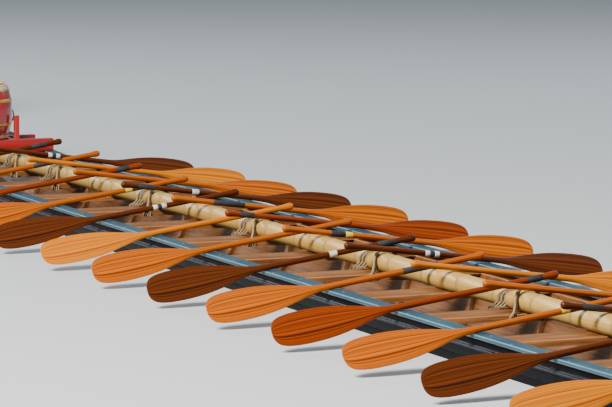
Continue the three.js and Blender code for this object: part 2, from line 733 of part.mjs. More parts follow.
const neck = limb(NECK_ROWS, 12);
const skull = limb(SKULL_ROWS, 12);
const eyes = [-1, 1].map((sign) => new THREE.SphereGeometry(44, 12, 8).translate(8640, sign * 92, 1540));
const nostrils = [-1, 1].map((sign) => new THREE.SphereGeometry(34, 10, 6).translate(9010, sign * 52, 1528));
const headSolid = joined(neck, skull, ...eyes, ...nostrils);
add("dragon_head", cut(headSolid, endBlock(1, GAP)), FINISH.gold);
const jawSolid = cut(limb(JAW_ROWS, 10), growth(headSolid));
add("dragon_jaw", jawSolid, FINISH.gold);
add("dragon_tongue", cut(limb(TONGUE_ROWS, 8), growth(jawSolid), growth(headSolid)), FINISH.red);
for (const [side, sign] of SIDES) {
  const flip = (rows) => rows.map((r) => ({ ...r, p: [r.p[0], sign * r.p[1], r.p[2]] }));
  const horn = joined(limb(flip(HORN_ROWS), 8), limb(flip(HORN_BRANCH_ROWS), 8));
  add(`dragon_horn_${side}`, cut(horn, growth(headSolid)), FINISH.hide);
}
add("dragon_mane", cut(flames(MANE_ROWS, 9, 120), growth(headSolid), endBlock(1, GAP)), FINISH.red);
const tail = limb(TAIL_ROWS, 12);
add("dragon_tail", cut(tail, endBlock(-1, GAP)), FINISH.gold);
const fins = flames(TAIL_ROWS.slice(2), 7, 130);
add("tail_fins", cut(fins, growth(tail), endBlock(-1, GAP)), FINISH.red);

// A solid grown by the gap all round, to cut its neighbour with.
function growth(geometry) {
  const solid = toSolid(geometry);
  const ways = [[1, 0, 0], [-1, 0, 0], [0, 1, 0], [0, -1, 0], [0, 0, 1], [0, 0, -1]];
  const moved = ways.map((way) => solid.translate(...way.map((v) => v * GAP * 1.5)));
  return toGeometry(moved.reduce((a, b) => a.add(b)));
}

export default boat;
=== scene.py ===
# %% [markdown]
# # A wooden dragon boat
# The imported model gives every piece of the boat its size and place: a hewn log hull with a plank
# on each side, fourteen thwarts, a bamboo pole lashed over them, paddles laid across the gunwale,
# a drum, a steering oar, and a carved dragon. These cells dress it. Wood gets grain, paint gets
# wear at its edges, and what a solid can only hint at, such as rope, scales and teeth, is made here.

# %% Load the frame and read its sizes
import math

import bpy
import bmesh
from mathutils import Matrix, Vector
from mathutils.bvhtree import BVHTree
from mathutils.geometry import interpolate_bezier


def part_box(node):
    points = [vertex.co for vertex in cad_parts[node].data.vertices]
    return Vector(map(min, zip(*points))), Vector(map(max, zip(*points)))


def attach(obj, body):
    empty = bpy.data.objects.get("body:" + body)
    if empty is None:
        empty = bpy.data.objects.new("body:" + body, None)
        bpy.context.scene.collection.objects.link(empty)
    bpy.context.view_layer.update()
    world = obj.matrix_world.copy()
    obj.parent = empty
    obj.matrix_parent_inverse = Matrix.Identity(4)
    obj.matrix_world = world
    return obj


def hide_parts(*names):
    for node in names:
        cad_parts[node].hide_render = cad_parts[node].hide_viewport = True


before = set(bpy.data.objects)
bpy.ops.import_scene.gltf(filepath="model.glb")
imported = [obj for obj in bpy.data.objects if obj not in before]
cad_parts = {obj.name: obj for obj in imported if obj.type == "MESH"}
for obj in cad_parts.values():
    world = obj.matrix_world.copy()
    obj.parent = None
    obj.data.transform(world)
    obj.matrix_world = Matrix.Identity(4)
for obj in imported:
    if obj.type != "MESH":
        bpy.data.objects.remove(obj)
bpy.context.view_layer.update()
bpy.ops.object.select_all(action="DESELECT")

ROWS = 14
PITCH = 0.75  # metres from thwart to thwart
ROW_X = [(i - (ROWS - 1) / 2) * PITCH for i in range(ROWS)]
SIDES = {"port": 1, "starboard": -1}

# %% [markdown]
# ## Camera, floor and light
# The photograph was taken from behind on the port side with a long lens, so the lines of the boat
# barely converge. A 218 mm lens 18 m from the middle of the boat gives the same view. The floor is
# at the waterline, so the lower part of the hull is below it. Big soft lamps stand in for the open
# sky.

# %% Camera
LENS = 218  # millimetres
SENSOR = 36  # millimetres
FAR_CLIP = 500
HEADING = math.radians(23.4)  # between the boat's line and the camera's
PITCH_DOWN = math.radians(6.32)
CAMERA_PLACE = (-16.42, 7.33, 2.41)

bpy.ops.object.camera_add(location=CAMERA_PLACE)
camera = bpy.context.object
camera.rotation_euler = (math.pi / 2 - PITCH_DOWN, 0, -math.pi / 2 - HEADING)
camera.data.lens = LENS
camera.data.sensor_width = SENSOR
camera.data.clip_end = FAR_CLIP
bpy.context.scene.camera = camera
print(f"the camera is {Vector(CAMERA_PLACE).length:.1f} m from the middle of the boat")

# %% Floor
FLOOR_HALF = 150
FLOOR_INSET = 0.006  # the floor reaches this far into the hull's skin, so that no gap shows


def plain_material(name, color, roughness):
    """A material with nothing but a colour, for the stage around the boat."""
    made = bpy.data.materials.new(name)
    made.use_nodes = True
    shader = made.node_tree.nodes["Principled BSDF"]
    shader.inputs["Base Color"].default_value = (*color, 1)
    shader.inputs["Roughness"].default_value = roughness
    return made


def waterline_half_widths(node_name):
    """How far a node reaches to port at the waterline, as sorted (x, half width)."""
    widths = {}
    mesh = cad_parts[node_name].data
    for edge in mesh.edges:
        a, b = (mesh.vertices[i].co for i in edge.vertices)
        if a.z * b.z < 0:
            cut = a.lerp(b, -a.z / (b.z - a.z))
            x = round(cut.x, 1)
            if cut.y > widths.get(x, (0, 0))[1]:
                widths[x] = (cut.x, cut.y)
    return sorted(widths.values())


def floor_around_hull():
    """A wide plane at the waterline, with a hole where the hull is so that its inside shows."""
    widths = waterline_half_widths("hull_log")
    half = [(x, y - FLOOR_INSET) for x, y in widths if y > 2 * FLOOR_INSET]
    hole = half + [(x, -y) for x, y in reversed(half)]
    rim = [(x * FLOOR_HALF, y * FLOOR_HALF) for x, y in ((1, 1), (-1, 1), (-1, -1), (1, -1))]
    work = bmesh.new()
    edges = []
    for ring in (rim, hole):
        corners = [work.verts.new((x, y, 0)) for x, y in ring]
        edges += [work.edges.new((corners[i - 1], corners[i])) for i in range(len(corners))]
    bmesh.ops.triangle_fill(work, edges=edges, use_beauty=True, use_dissolve=False)
    bmesh.ops.recalc_face_normals(work, faces=work.faces)
    mesh = bpy.data.meshes.new("floor")
    work.to_mesh(mesh)
    work.free()
    made = bpy.data.objects.new("floor", mesh)
    bpy.context.scene.collection.objects.link(made)
    if mesh.polygons[0].normal.z < 0:
        mesh.flip_normals()
    return made


floor = floor_around_hull()
floor.data.materials.append(plain_material("pale_floor", (0.48, 0.52, 0.54), 0.8))
print(f"the floor is {2 * FLOOR_HALF} m across, in {len(floor.data.polygons)} triangles")

# %% Lamps and sky
LAMPS = [
    # name, place, the point it is turned to, size, watts and colour
    ("key_lamp", (-7, 12, 12), (0, 0, 0), 5, 9500, (1, 0.94, 0.85)),
    ("fill_lamp", (8, -14, 10), (0, 0, 0), 12, 800, (0.86, 0.93, 1)),
    ("bow_lamp", (18, 6, 9), (4, 0, 0), 8, 1500, (1, 1, 1)),
]
SKY_COLOR = (0.72, 0.82, 0.92, 1)
SKY_STRENGTH = 0.38


def soft_lamp(name, place, aim, size, watts, color):
    """A large square lamp at a place, turned to a point on the boat."""
    bpy.ops.object.light_add(type="AREA", location=place)
    lamp = bpy.context.object
    lamp.name = name
    lamp.data.size = size
    lamp.data.energy = watts
    lamp.data.color = color
    lamp.rotation_euler = (Vector(aim) - Vector(place)).to_track_quat("-Z", "Y").to_euler()


for lamp in LAMPS:
    soft_lamp(*lamp)

world = bpy.context.scene.world or bpy.data.worlds.new("sky")
bpy.context.scene.world = world
world.use_nodes = True
sky = world.node_tree.nodes["Background"]
sky.inputs["Color"].default_value = SKY_COLOR
sky.inputs["Strength"].default_value = SKY_STRENGTH
print(f"{len(LAMPS)} lamps and a sky of strength {SKY_STRENGTH}")

# %% [markdown]
# ## Tools for the bench
# Most new pieces begin as a circle that is drawn out ring by ring, as a carver works along a
# blank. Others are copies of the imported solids: their loose triangles are welded, and their edges
# are planed off with a bevel so that they catch the light.


# %% Selecting, and applying modifiers
CRISP = 40  # degrees: edges sharper than this stay crisp on sawn and planed pieces
SOFT = 60  # the same on round and carved pieces


def pick(piece):
    """Makes one object the only selected one, and the active one."""
    bpy.ops.object.select_all(action="DESELECT")
    piece.select_set(True)
    bpy.context.view_layer.objects.active = piece
    return piece


def modify(piece, kind, **settings):
    """Adds a modifier with the given settings and applies it."""
    pick(piece)
    added = piece.modifiers.new(kind.lower(), kind)
    for key, value in settings.items():
        setattr(added, key, value)
    bpy.ops.object.modifier_apply(modifier=added.name)
    return piece


def smooth(piece, degrees=CRISP):
    """Smooth shading, with edges sharper than the angle left crisp."""
    pick(piece)
    bpy.ops.object.shade_smooth_by_angle(angle=math.radians(degrees))
    return piece


def all_smooth(piece):
    """Smooth shading with no crisp edge."""
    pick(piece)
    bpy.ops.object.shade_smooth()
    return piece


def weld(piece, distance=1e-5):
    """Joins doubled points and turns every face outwards."""
    pick(piece)
    bpy.ops.object.mode_set(mode="EDIT")
    bpy.ops.mesh.select_all(action="SELECT")
    bpy.ops.mesh.remove_doubles(threshold=distance)
    bpy.ops.mesh.normals_make_consistent(inside=False)
    bpy.ops.object.mode_set(mode="OBJECT")
    return piece


def flatten_place(piece):
    """Puts an object's place, turn and size into its mesh."""
    pick(piece)
    bpy.ops.object.transform_apply(location=True, rotation=True, scale=True)
    return piece


# %% Joining pieces, and finishing one
def together(name, pieces):
    """Joins pieces into one object."""
    bpy.ops.object.select_all(action="DESELECT")
    for piece in pieces:
        piece.select_set(True)
    bpy.context.view_layer.objects.active = pieces[0]
    if len(pieces) > 1:
        bpy.ops.object.join()
    pieces[0].name = name
    return pieces[0]


def finish_piece(piece, body, materials, stands_for=()):
    """Gives a piece its materials and its body, and hides the nodes that it stands for."""
    piece.data.materials.clear()
    for material in materials:
        piece.data.materials.append(material)
    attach(piece, body)
    if stands_for:
        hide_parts(*stands_for)
    print(f"{piece.name}: {len(piece.data.polygons)} faces, rides on {body}")
    return piece


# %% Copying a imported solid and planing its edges
FLAT_WITHIN = math.radians(0.4)  # faces that turn less than this from each other are one flat


def planed_copy(node_name, bevel, segments=2, sharp=25, name=None):
    """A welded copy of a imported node, its flats merged and its sharp edges rounded."""
    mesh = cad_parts[node_name].data.copy()
    copy = bpy.data.objects.new(name or f"planed_{node_name}", mesh)
    bpy.context.scene.collection.objects.link(copy)
    weld(copy)
    bpy.ops.object.mode_set(mode="EDIT")
    bpy.ops.mesh.select_all(action="SELECT")
    bpy.ops.mesh.dissolve_limited(angle_limit=FLAT_WITHIN)
    bpy.ops.object.mode_set(mode="OBJECT")
    if bevel:
        modify(
            copy, "BEVEL", width=bevel, segments=segments, limit_method="ANGLE",
            angle_limit=math.radians(sharp), harden_normals=False,
        )
    return smooth(copy)


# %% Drawing a ring out along X, one station after another
def drawn_out(name, stations, sides=16):
    """A closed, roughly round bar. Each station is (x, half width in y, half depth in z)."""
    x, wide, deep = stations[0]
    bpy.ops.mesh.primitive_circle_add(
        vertices=sides, radius=1, fill_type="NGON", location=(x, 0, 0),
        rotation=(math.pi / 2, 0, math.pi / 2),
    )
    piece = flatten_place(bpy.context.object)
    piece.name = name
    bpy.ops.object.mode_set(mode="EDIT")
    bpy.ops.mesh.select_all(action="SELECT")
    bpy.ops.transform.resize(value=(1, wide, deep), center_override=(x, 0, 0))
    for new_x, new_wide, new_deep in stations[1:]:
        bpy.ops.mesh.extrude_region_move(TRANSFORM_OT_translate={"value": (new_x - x, 0, 0)})
        bpy.ops.transform.resize(
            value=(1, new_wide / wide, new_deep / deep), center_override=(new_x, 0, 0)
        )
        x, wide, deep = new_x, new_wide, new_deep
    bpy.ops.object.mode_set(mode="OBJECT")
    return weld(piece, 1e-6)


def copy_of(piece, name):
    """A copy with a mesh of its own."""
    copy = piece.copy()
    copy.data = piece.data.copy()
    copy.name = name
    bpy.context.scene.collection.objects.link(copy)
    return copy


def meshed(name, curve):
    """A new piece from a curve, turned into a mesh."""
    piece = bpy.data.objects.new(name, curve)
    bpy.context.scene.collection.objects.link(piece)
    pick(piece)
    bpy.ops.object.convert(target="MESH")
    return bpy.context.object


def rope_run(name, points, radius, sides=8):
    """A mesh tube through points and back to the first, for one turn of rope."""
    curve = bpy.data.curves.new(name, "CURVE")
    curve.dimensions = "3D"
    curve.bevel_depth = radius
    curve.bevel_resolution = sides // 4 - 1
    spline = curve.splines.new("POLY")
    spline.points.add(len(points) - 1)
    for point, place in zip(spline.points, points):
        point.co = (*place, 1)
    spline.use_cyclic_u = True
    spline.use_smooth = True
    return meshed(name, curve)


# %% [markdown]
# ## Shader groups
# Three effects come back in most finishes: the grain of wood, paint worn through along edges, and
# the fine scuffs and dust of use. Each is a node group with named inputs, built once.


# %% Helpers that build node trees
def new_group(name, inputs, outputs):
    """An empty shader group. Inputs are (name, type, default) and outputs are (name, type)."""
    tree = bpy.data.node_groups.new(name, "ShaderNodeTree")
    for label, kind, default in inputs:
        socket = tree.interface.new_socket(label, in_out="INPUT", socket_type=kind)
        if default is not None:
            socket.default_value = default
    for label, kind in outputs:
        tree.interface.new_socket(label, in_out="OUTPUT", socket_type=kind)
    return tree, tree.nodes.new("NodeGroupInput"), tree.nodes.new("NodeGroupOutput")


def node(tree, kind, settings=None, **values):
    """Adds a node. Values set its inputs by name, or by number as _0, from a value or an output."""
    made = tree.nodes.new(kind)
    for key, value in (settings or {}).items():
        setattr(made, key, value)
    for key, value in values.items():
        index = int(key[1:]) if key[0] == "_" and key[1:].isdigit() else key.replace("_", " ")
        socket = made.inputs[index]
        if isinstance(value, bpy.types.NodeSocket):
            tree.links.new(value, socket)
        else:
            socket.default_value = value
    return made


def math_node(tree, operation, first, second=0.0, clamp=False):
    """A Math node's result."""
    settings = {"operation": operation, "use_clamp": clamp}
    return node(tree, "ShaderNodeMath", settings, _0=first, _1=second).outputs[0]


def ranged(tree, value, low, high, to_low=0.0, to_high=1.0):
    """A Map Range node's result."""
    made = node(tree, "ShaderNodeMapRange", {"clamp": True}, Value=value)
    made.inputs["From Min"].default_value = low
    made.inputs["From Max"].default_value = high
    made.inputs["To Min"].default_value = to_low
    made.inputs["To Max"].default_value = to_high
    return made.outputs["Result"]


def mixed(tree, factor, first, second):
    """A colour between two, by a factor. A Mix node's colours are its sockets 6, 7 and, out, 2."""
    opaque = [(*color, 1) if isinstance(color, tuple) else color for color in (first, second)]
    settings = {"data_type": "RGBA"}
    return node(tree, "ShaderNodeMix", settings, _0=factor, _6=opaque[0], _7=opaque[1]).outputs[2]


def toned(color, factor, lift=0.0):
    """A darker or lighter colour, never brighter than white."""
    return tuple(min(1, factor * c + lift) for c in color)


# %% Wood grain
def build_grain_group():
    """Streaks along the grain, broader bands, and a slow change of tone."""
    tree, given, out = new_group(
        "wood grain",
        [("Vector", "NodeSocketVector", None), ("Band Size", "NodeSocketFloat", 0.35)],
        [("Streaks", "NodeSocketFloat"), ("Bands", "NodeSocketFloat"), ("Tone", "NodeSocketFloat")],
    )
    along = given.outputs["Vector"]
    fine = node(
        tree, "ShaderNodeTexNoise", Vector=along, Scale=1.0, Detail=6.0, Roughness=0.68, Distortion=0.3
    )
    slow = node(tree, "ShaderNodeTexNoise", Vector=along, Scale=0.09, Detail=2.0, Roughness=0.5)
    bands = node(
        tree, "ShaderNodeTexNoise", Vector=along, Scale=given.outputs["Band Size"], Detail=3.0, Distortion=0.8
    )
    ripple = math_node(tree, "SINE", math_node(tree, "MULTIPLY", bands.outputs["Fac"], 42.0))
    tree.links.new(ranged(tree, fine.outputs["Fac"], 0.38, 0.66), out.inputs["Streaks"])
    tree.links.new(ranged(tree, ripple, -0.6, 1.0), out.inputs["Bands"])
    tree.links.new(ranged(tree, slow.outputs["Fac"], 0.36, 0.64), out.inputs["Tone"])
    return tree


GRAIN = build_grain_group()
print(f"{GRAIN.name}: {len(GRAIN.nodes)} nodes")


# %% Wear along edges
def build_wear_group():
    """Nearly 1 where an edge is rubbed bare. The rounded normal of a Bevel node finds the edges."""
    tree, given, out = new_group(
        "edge wear",
        [
            ("Vector", "NodeSocketVector", None),
            ("Width", "NodeSocketFloat", 0.006),
            ("Amount", "NodeSocketFloat", 0.5),
            ("Patch Size", "NodeSocketFloat", 9.0),
        ],
        [("Worn", "NodeSocketFloat")],
    )
    rounded = node(tree, "ShaderNodeBevel", {"samples": 4}, Radius=given.outputs["Width"])
    flat = node(tree, "ShaderNodeNewGeometry")
    facing = node(
        tree, "ShaderNodeVectorMath", {"operation": "DOT_PRODUCT"},
        _0=rounded.outputs["Normal"], _1=flat.outputs["Normal"],
    ).outputs["Value"]
    edge = ranged(tree, facing, 0.995, 0.93)
    patches = node(
        tree, "ShaderNodeTexNoise", Vector=given.outputs["Vector"], Scale=given.outputs["Patch Size"],
        Detail=5.0, Roughness=0.7,
    ).outputs["Fac"]
    reach = math_node(tree, "SUBTRACT", 1.0, given.outputs["Amount"])
    patchy = math_node(tree, "SUBTRACT", math_node(tree, "MULTIPLY", patches, 1.6), reach)
    hard_patches = math_node(tree, "MULTIPLY", patchy, 3.0, clamp=True)
    rubbed = math_node(tree, "MULTIPLY", edge, hard_patches, clamp=True)
    tree.links.new(rubbed, out.inputs["Worn"])
    return tree


WEAR = build_wear_group()
print(f"{WEAR.name}: {len(WEAR.nodes)} nodes")


# %% Scuffs and dust
def build_scuff_group():
    """Fine scratches and cloudy dust, for roughness and a little colour."""
    tree, given, out = new_group(
        "scuffs and dust",
        [("Vector", "NodeSocketVector", None), ("Scale", "NodeSocketFloat", 6.0)],
        [("Scuffs", "NodeSocketFloat"), ("Clouds", "NodeSocketFloat")],
    )
    places, scale = given.outputs["Vector"], given.outputs["Scale"]
    stretched = node(
        tree, "ShaderNodeVectorMath", {"operation": "MULTIPLY"}, _0=places, _1=(0.35, 3.0, 6.0)
    ).outputs["Vector"]
    scratch = node(
        tree, "ShaderNodeTexNoise", Vector=stretched, Scale=scale, Detail=8.0, Roughness=0.75
    ).outputs["Fac"]
    clouds = node(tree, "ShaderNodeTexNoise", Vector=places, Scale=scale, Detail=4.0).outputs["Fac"]
    tree.links.new(ranged(tree, scratch, 0.6, 0.72), out.inputs["Scuffs"])
    tree.links.new(ranged(tree, clouds, 0.38, 0.68), out.inputs["Clouds"])
    return tree


SCUFF = build_scuff_group()
print(f"{SCUFF.name}: {len(SCUFF.nodes)} nodes")


# %% [markdown]
# ## Finishes
# Every finish starts the same way: a Principled shader, object coordinates or the piece's own UV
# map, and a Mapping node that stretches the grain along the piece. Then each adds its own colours.


# %% Starting a finish, and placing a group in it
def start_finish(name, stretch=(1, 1, 1), use_uv=False):
    """A new material, its tree, its shader, plain coordinates, and stretched ones."""
    made = bpy.data.materials.new(name)
    made.use_nodes = True
    tree = made.node_tree
    places = node(tree, "ShaderNodeTexCoord").outputs["UV" if use_uv else "Object"]
    mapping = node(tree, "ShaderNodeMapping", Vector=places)
    mapping.inputs["Scale"].default_value = stretch
    return made, tree, tree.nodes["Principled BSDF"], places, mapping.outputs["Vector"]


def placed(tree, group, **values):
    """A group in a material's tree, with its inputs set by name."""
    return node(tree, "ShaderNodeGroup", {"node_tree": group}, **values).outputs


def bump(tree, shader, height, strength, distance):
    """Feeds a height to the shader's normal."""
    made = node(tree, "ShaderNodeBump", Height=height, Strength=strength, Distance=distance)
    tree.links.new(made.outputs["Normal"], shader.inputs["Normal"])


# %% Wood: varnished, oiled or bare
def wood_finish(
    name, light, dark, stretch, gloss=0.4, streaks=0.6, board=None, wear=None, use_uv=False,
    grime=0.25, coat=0.0, shine=0.3,
):
    """Wood with its grain along the axis stretched least. A board's axis and width tone each board."""
    made, tree, shader, places, along = start_finish(name, stretch, use_uv)
    if board:
        axis, size = board
        split = node(tree, "ShaderNodeSeparateXYZ", Vector=places).outputs[axis]
        number = math_node(tree, "FLOOR", math_node(tree, "DIVIDE", split, size))
        tone = node(tree, "ShaderNodeTexWhiteNoise", {"noise_dimensions": "1D"}, W=number).outputs["Value"]
        slide = math_node(tree, "MULTIPLY", tone, 37.0)
        shifted = node(tree, "ShaderNodeCombineXYZ", X=slide, Y=tone, Z=tone)
        along = node(
            tree, "ShaderNodeVectorMath", {"operation": "ADD"}, _0=along, _1=shifted.outputs["Vector"]
        ).outputs["Vector"]
    grain = placed(tree, GRAIN, Vector=along)
    depth = math_node(tree, "MULTIPLY", grain["Streaks"], streaks)
    depth = math_node(tree, "ADD", depth, math_node(tree, "MULTIPLY", grain["Bands"], 0.55 * streaks))
    depth = math_node(tree, "ADD", depth, math_node(tree, "MULTIPLY", grain["Tone"], 0.25), clamp=True)
    color = mixed(tree, depth, light, dark)
    if board:
        color = mixed(tree, ranged(tree, tone, 0, 1, 0.0, 0.35), color, toned(dark, 0.45))
    scuff = placed(tree, SCUFF, Vector=places, Scale=3.0)
    dirt = math_node(tree, "MULTIPLY", scuff["Clouds"], grime)
    color = mixed(tree, dirt, color, toned(dark, 0.35))
    if wear:
        worn = placed(tree, WEAR, Vector=places, Amount=wear, Width=0.007)["Worn"]
        color = mixed(tree, worn, color, toned(light, 1.5, 0.08))
    tree.links.new(color, shader.inputs["Base Color"])
    rough = math_node(tree, "ADD", gloss, math_node(tree, "MULTIPLY", scuff["Scuffs"], 0.25))
    rough = math_node(tree, "ADD", rough, math_node(tree, "MULTIPLY", grain["Streaks"], 0.12), clamp=True)
    tree.links.new(rough, shader.inputs["Roughness"])
    shader.inputs["Specular IOR Level"].default_value = shine
    shader.inputs["Coat Weight"].default_value = coat
    shader.inputs["Coat Roughness"].default_value = 0.12
    bump(tree, shader, grain["Streaks"], 0.25, 0.0006)
    return made


# %% Paint and lacquer
def paint_finish(
    name, color, under, gloss, wear, second=None, coat=0.0, width=0.006, patch=9.0, clouds=0.25,
    metal=0.0, shine=0.5,
):
    """Paint over wood, rubbed through to what is under it along the edges."""
    made, tree, shader, places, along = start_finish(name, (1.2, 14, 14))
    grain = placed(tree, GRAIN, Vector=along)
    scuff = placed(tree, SCUFF, Vector=places, Scale=4.0)
    cloudy = math_node(tree, "MULTIPLY", scuff["Clouds"], clouds)
    base = mixed(tree, cloudy, color, second or toned(color, 0.6))
    worn = placed(tree, WEAR, Vector=places, Amount=wear, Width=width, Patch_Size=patch)["Worn"]
    base = mixed(tree, worn, base, under)
    tree.links.new(base, shader.inputs["Base Color"])
    rough = math_node(tree, "ADD", gloss, math_node(tree, "MULTIPLY", scuff["Scuffs"], 0.3))
    rough = math_node(tree, "ADD", rough, math_node(tree, "MULTIPLY", worn, 0.3), clamp=True)
    tree.links.new(rough, shader.inputs["Roughness"])
    shader.inputs["Metallic"].default_value = metal
    shader.inputs["Specular IOR Level"].default_value = shine
    shader.inputs["Coat Weight"].default_value = coat
    shader.inputs["Coat Roughness"].default_value = 0.08
    bump(tree, shader, grain["Streaks"], 0.12, 0.0008)
    return made


# %% Metal and rope
def metal_finish(name, color, dull, roughness):
    """Cast metal with a dull skin in cloudy patches and brighter edges."""
    made, tree, shader, places, _ = start_finish(name)
    scuff = placed(tree, SCUFF, Vector=places, Scale=40.0)
    worn = placed(tree, WEAR, Vector=places, Amount=0.8, Width=0.003, Patch_Size=60.0)["Worn"]
    tone = mixed(tree, math_node(tree, "MULTIPLY", scuff["Clouds"], 0.8), color, dull)
    tree.links.new(mixed(tree, worn, tone, toned(color, 1.6)), shader.inputs["Base Color"])
    rough = ranged(tree, scuff["Clouds"], 0, 1, roughness, roughness + 0.25)
    tree.links.new(rough, shader.inputs["Roughness"])
    shader.inputs["Metallic"].default_value = 1
    return made


def rope_finish(name, color, dark, twist=260.0):
    """Laid rope: slanting strands, in object coordinates, deep enough to shade, with painted shade that
    darkens the grooves between them.
    """
    made, tree, shader, places, _ = start_finish(name)
    slant = node(
        tree, "ShaderNodeVectorMath", {"operation": "DOT_PRODUCT"}, _0=places, _1=(0.7, 1.0, 0.8)
    ).outputs["Value"]
    strands = math_node(tree, "SINE", math_node(tree, "MULTIPLY", slant, twist * math.tau / 2))
    fuzz = node(tree, "ShaderNodeTexNoise", Vector=places, Scale=400.0, Detail=3.0).outputs["Fac"]
    height = math_node(tree, "ADD", strands, fuzz)
    # Painted shade: the colour follows the strands' height, dark in the grooves between them
    tree.links.new(mixed(tree, ranged(tree, height, -0.6, 1.4), dark, color), shader.inputs["Base Color"])
    shader.inputs["Roughness"].default_value = 0.9
    bump(tree, shader, height, 0.6, 0.0012)
    return made


# %% The hull's finishes
BLACK = paint_finish(
    "black_lacquer", (0.0018, 0.002, 0.0032), (0.035, 0.032, 0.03), 0.30, 0.3, second=(0.004, 0.0045, 0.006),
    width=0.004, patch=5.0, shine=0.03,
)
# The cap's blue-grey, with its lighter clouds, is painted reflection: the colour of the sky in glossy black
# paint. Its pale bluish edges, laid on as edge wear, are painted highlights.
GUNWALE = paint_finish(
    "gunwale_painted_sky_reflection", (0.014, 0.056, 0.088), (0.30, 0.38, 0.42), 0.42, 0.66, second=(0.034, 0.092, 0.125),
    width=0.006, patch=2.5, clouds=0.7, shine=0.16,
)
# Black paint for the rub rails. Its pale bluish edges, laid on as edge wear, are a painted highlight: the sky
# caught along the rails' edges.
EDGE_LIT_BLACK = paint_finish(
    "black_with_painted_edge_highlight", (0.004, 0.005, 0.009), (0.15, 0.17, 0.21), 0.32, 0.8, width=0.003, patch=0.9, shine=0.05
)
INNER_WOOD = wood_finish(
    "inner_wood", (0.22, 0.095, 0.034), (0.07, 0.028, 0.011), (3, 60, 60), gloss=0.5, grime=0.32, wear=0.45
)
print(f"{len(bpy.data.materials)} materials so far")

# %% [markdown]
# ## Hull
# The log, the side planks, the rub rails and the two end blocks are right as packed. A welded copy
# of each gets planed edges. Inside, the boat is oiled wood and not lacquer, so the faces of the log
# are sorted by which way they look, and those of the planks, with the frames that hang from them,
# by how far in from the planking they lie.


# %% The hull's lines
HULL_STATIONS = (0, 1.5, 3, 4, 5, 5.4, 6.05, 6.4, 6.7, 7.1, 7.5, 7.9, 8.1, 8.3)
HULL_END = HULL_STATIONS[-1]
BEAM_HALF = 0.55  # amidships
TAPER = 0.52  # how much of it is gone at the ends
FREEBOARD = 0.15  # amidships, from the waterline to the top of the caps
SHEER_START = 5  # where the gunwale begins to rise
SHEER_RUN = 3.3  # from there to the end
SHEER_RISE = 0.6


def at_station(x, value):
    """A value of the hull that is straight between its stations."""
    x = abs(x)
    for low, high in zip(HULL_STATIONS, HULL_STATIONS[1:]):
        if x <= high:
            part = (x - low) / (high - low)
            return value(low) * (1 - part) + value(high) * part
    return value(HULL_END)


def half_beam(x):
    """From the boat's middle line to the outside of its planks."""
    return at_station(x, lambda s: BEAM_HALF - TAPER * (s / HULL_END) ** 4)


def sheer(x):
    """The height of the caps' top over the waterline."""
    return at_station(x, lambda s: FREEBOARD + SHEER_RISE * (max(0, s - SHEER_START) / SHEER_RUN) ** 2)


print(f"half beam {half_beam(0):.3f} m amidships and {half_beam(HULL_END):.3f} m at the ends")

# %% Log, planks, caps, rails and end blocks
SKIN = 0.012  # what lies deeper than this behind the hull's outside is inside
WELL_END = 7.55  # from here to its ends the log is solid
FACES_UP = 0.4  # the least upward part of a face's normal that makes it a top


def dress_log():
    """Black outside, oiled wood inside."""
    log = planed_copy("hull_log", 0.004)
    finish_piece(log, "hull", [BLACK, INNER_WOOD], ["hull_log"])
    for face in log.data.polygons:
        within = abs(face.center.y) < half_beam(face.center.x) - SKIN
        inward = face.normal.y * face.center.y < 0 or (face.normal.z > FACES_UP and within)
        face.material_index = 1 if inward and abs(face.center.x) < WELL_END else 0
    print(f"hull_log: {sum(face.material_index for face in log.data.polygons)} faces of bare wood")


dress_log()
for side, sign in SIDES.items():
    plank = planed_copy(f"side_plank_{side}", 0.003)
    finish_piece(plank, "hull", [BLACK, INNER_WOOD], [f"side_plank_{side}"])
    for face in plank.data.polygons:
        face.material_index = 1 if face.center.y * sign < half_beam(face.center.x) - SKIN else 0
    cap = planed_copy(f"gunwale_cap_{side}", 0.004, segments=3)
    finish_piece(cap, "hull", [GUNWALE], [f"gunwale_cap_{side}"])
    rail = planed_copy(f"rub_rail_{side}", 0.0015, segments=1, sharp=60)
    finish_piece(rail, "hull", [EDGE_LIT_BLACK], [f"rub_rail_{side}"])
for end in ("stem", "stern"):
    finish_piece(planed_copy(f"{end}_block", 0.006), "hull", [BLACK], [f"{end}_block"])

# %% [markdown]
# ## Inside
# Floor timbers, keelson and floorboards are oiled and dirty from use. The thwarts are varnished,
# and rubbed pale by use. Long boards get a change of tone from one to the next.

# %% Bare and varnished boards, and red lacquer
BOARD_WOOD = wood_finish(
    "floor_wood", (0.28, 0.16, 0.08), (0.09, 0.045, 0.022), (3, 70, 70), gloss=0.6, grime=0.6, wear=0.6,
    board=("Y", 0.098),
)
DECK_WOOD = wood_finish(
    "deck_wood", (0.28, 0.155, 0.075), (0.09, 0.045, 0.022), (2.2, 60, 2), gloss=0.55, grime=0.5, wear=0.6,
    board=("Y", 0.098),
)
THWART_WOOD = wood_finish(
    "thwart_wood", (0.33, 0.135, 0.036), (0.11, 0.036, 0.010), (55, 2.6, 55), gloss=0.36,
    board=("X", PITCH), grime=0.35, wear=0.6, coat=0.08,
)
UPRIGHT_WOOD = wood_finish(
    "upright_wood", (0.33, 0.135, 0.036), (0.11, 0.036, 0.010), (55, 55, 2.6), gloss=0.36,
    grime=0.35, wear=0.6, coat=0.08,
)
RED = paint_finish("red_lacquer", (0.38, 0.012, 0.010), (0.16, 0.07, 0.03), 0.25, 0.45, coat=0.6, width=0.004)
print(f"{len(bpy.data.materials)} materials by now")

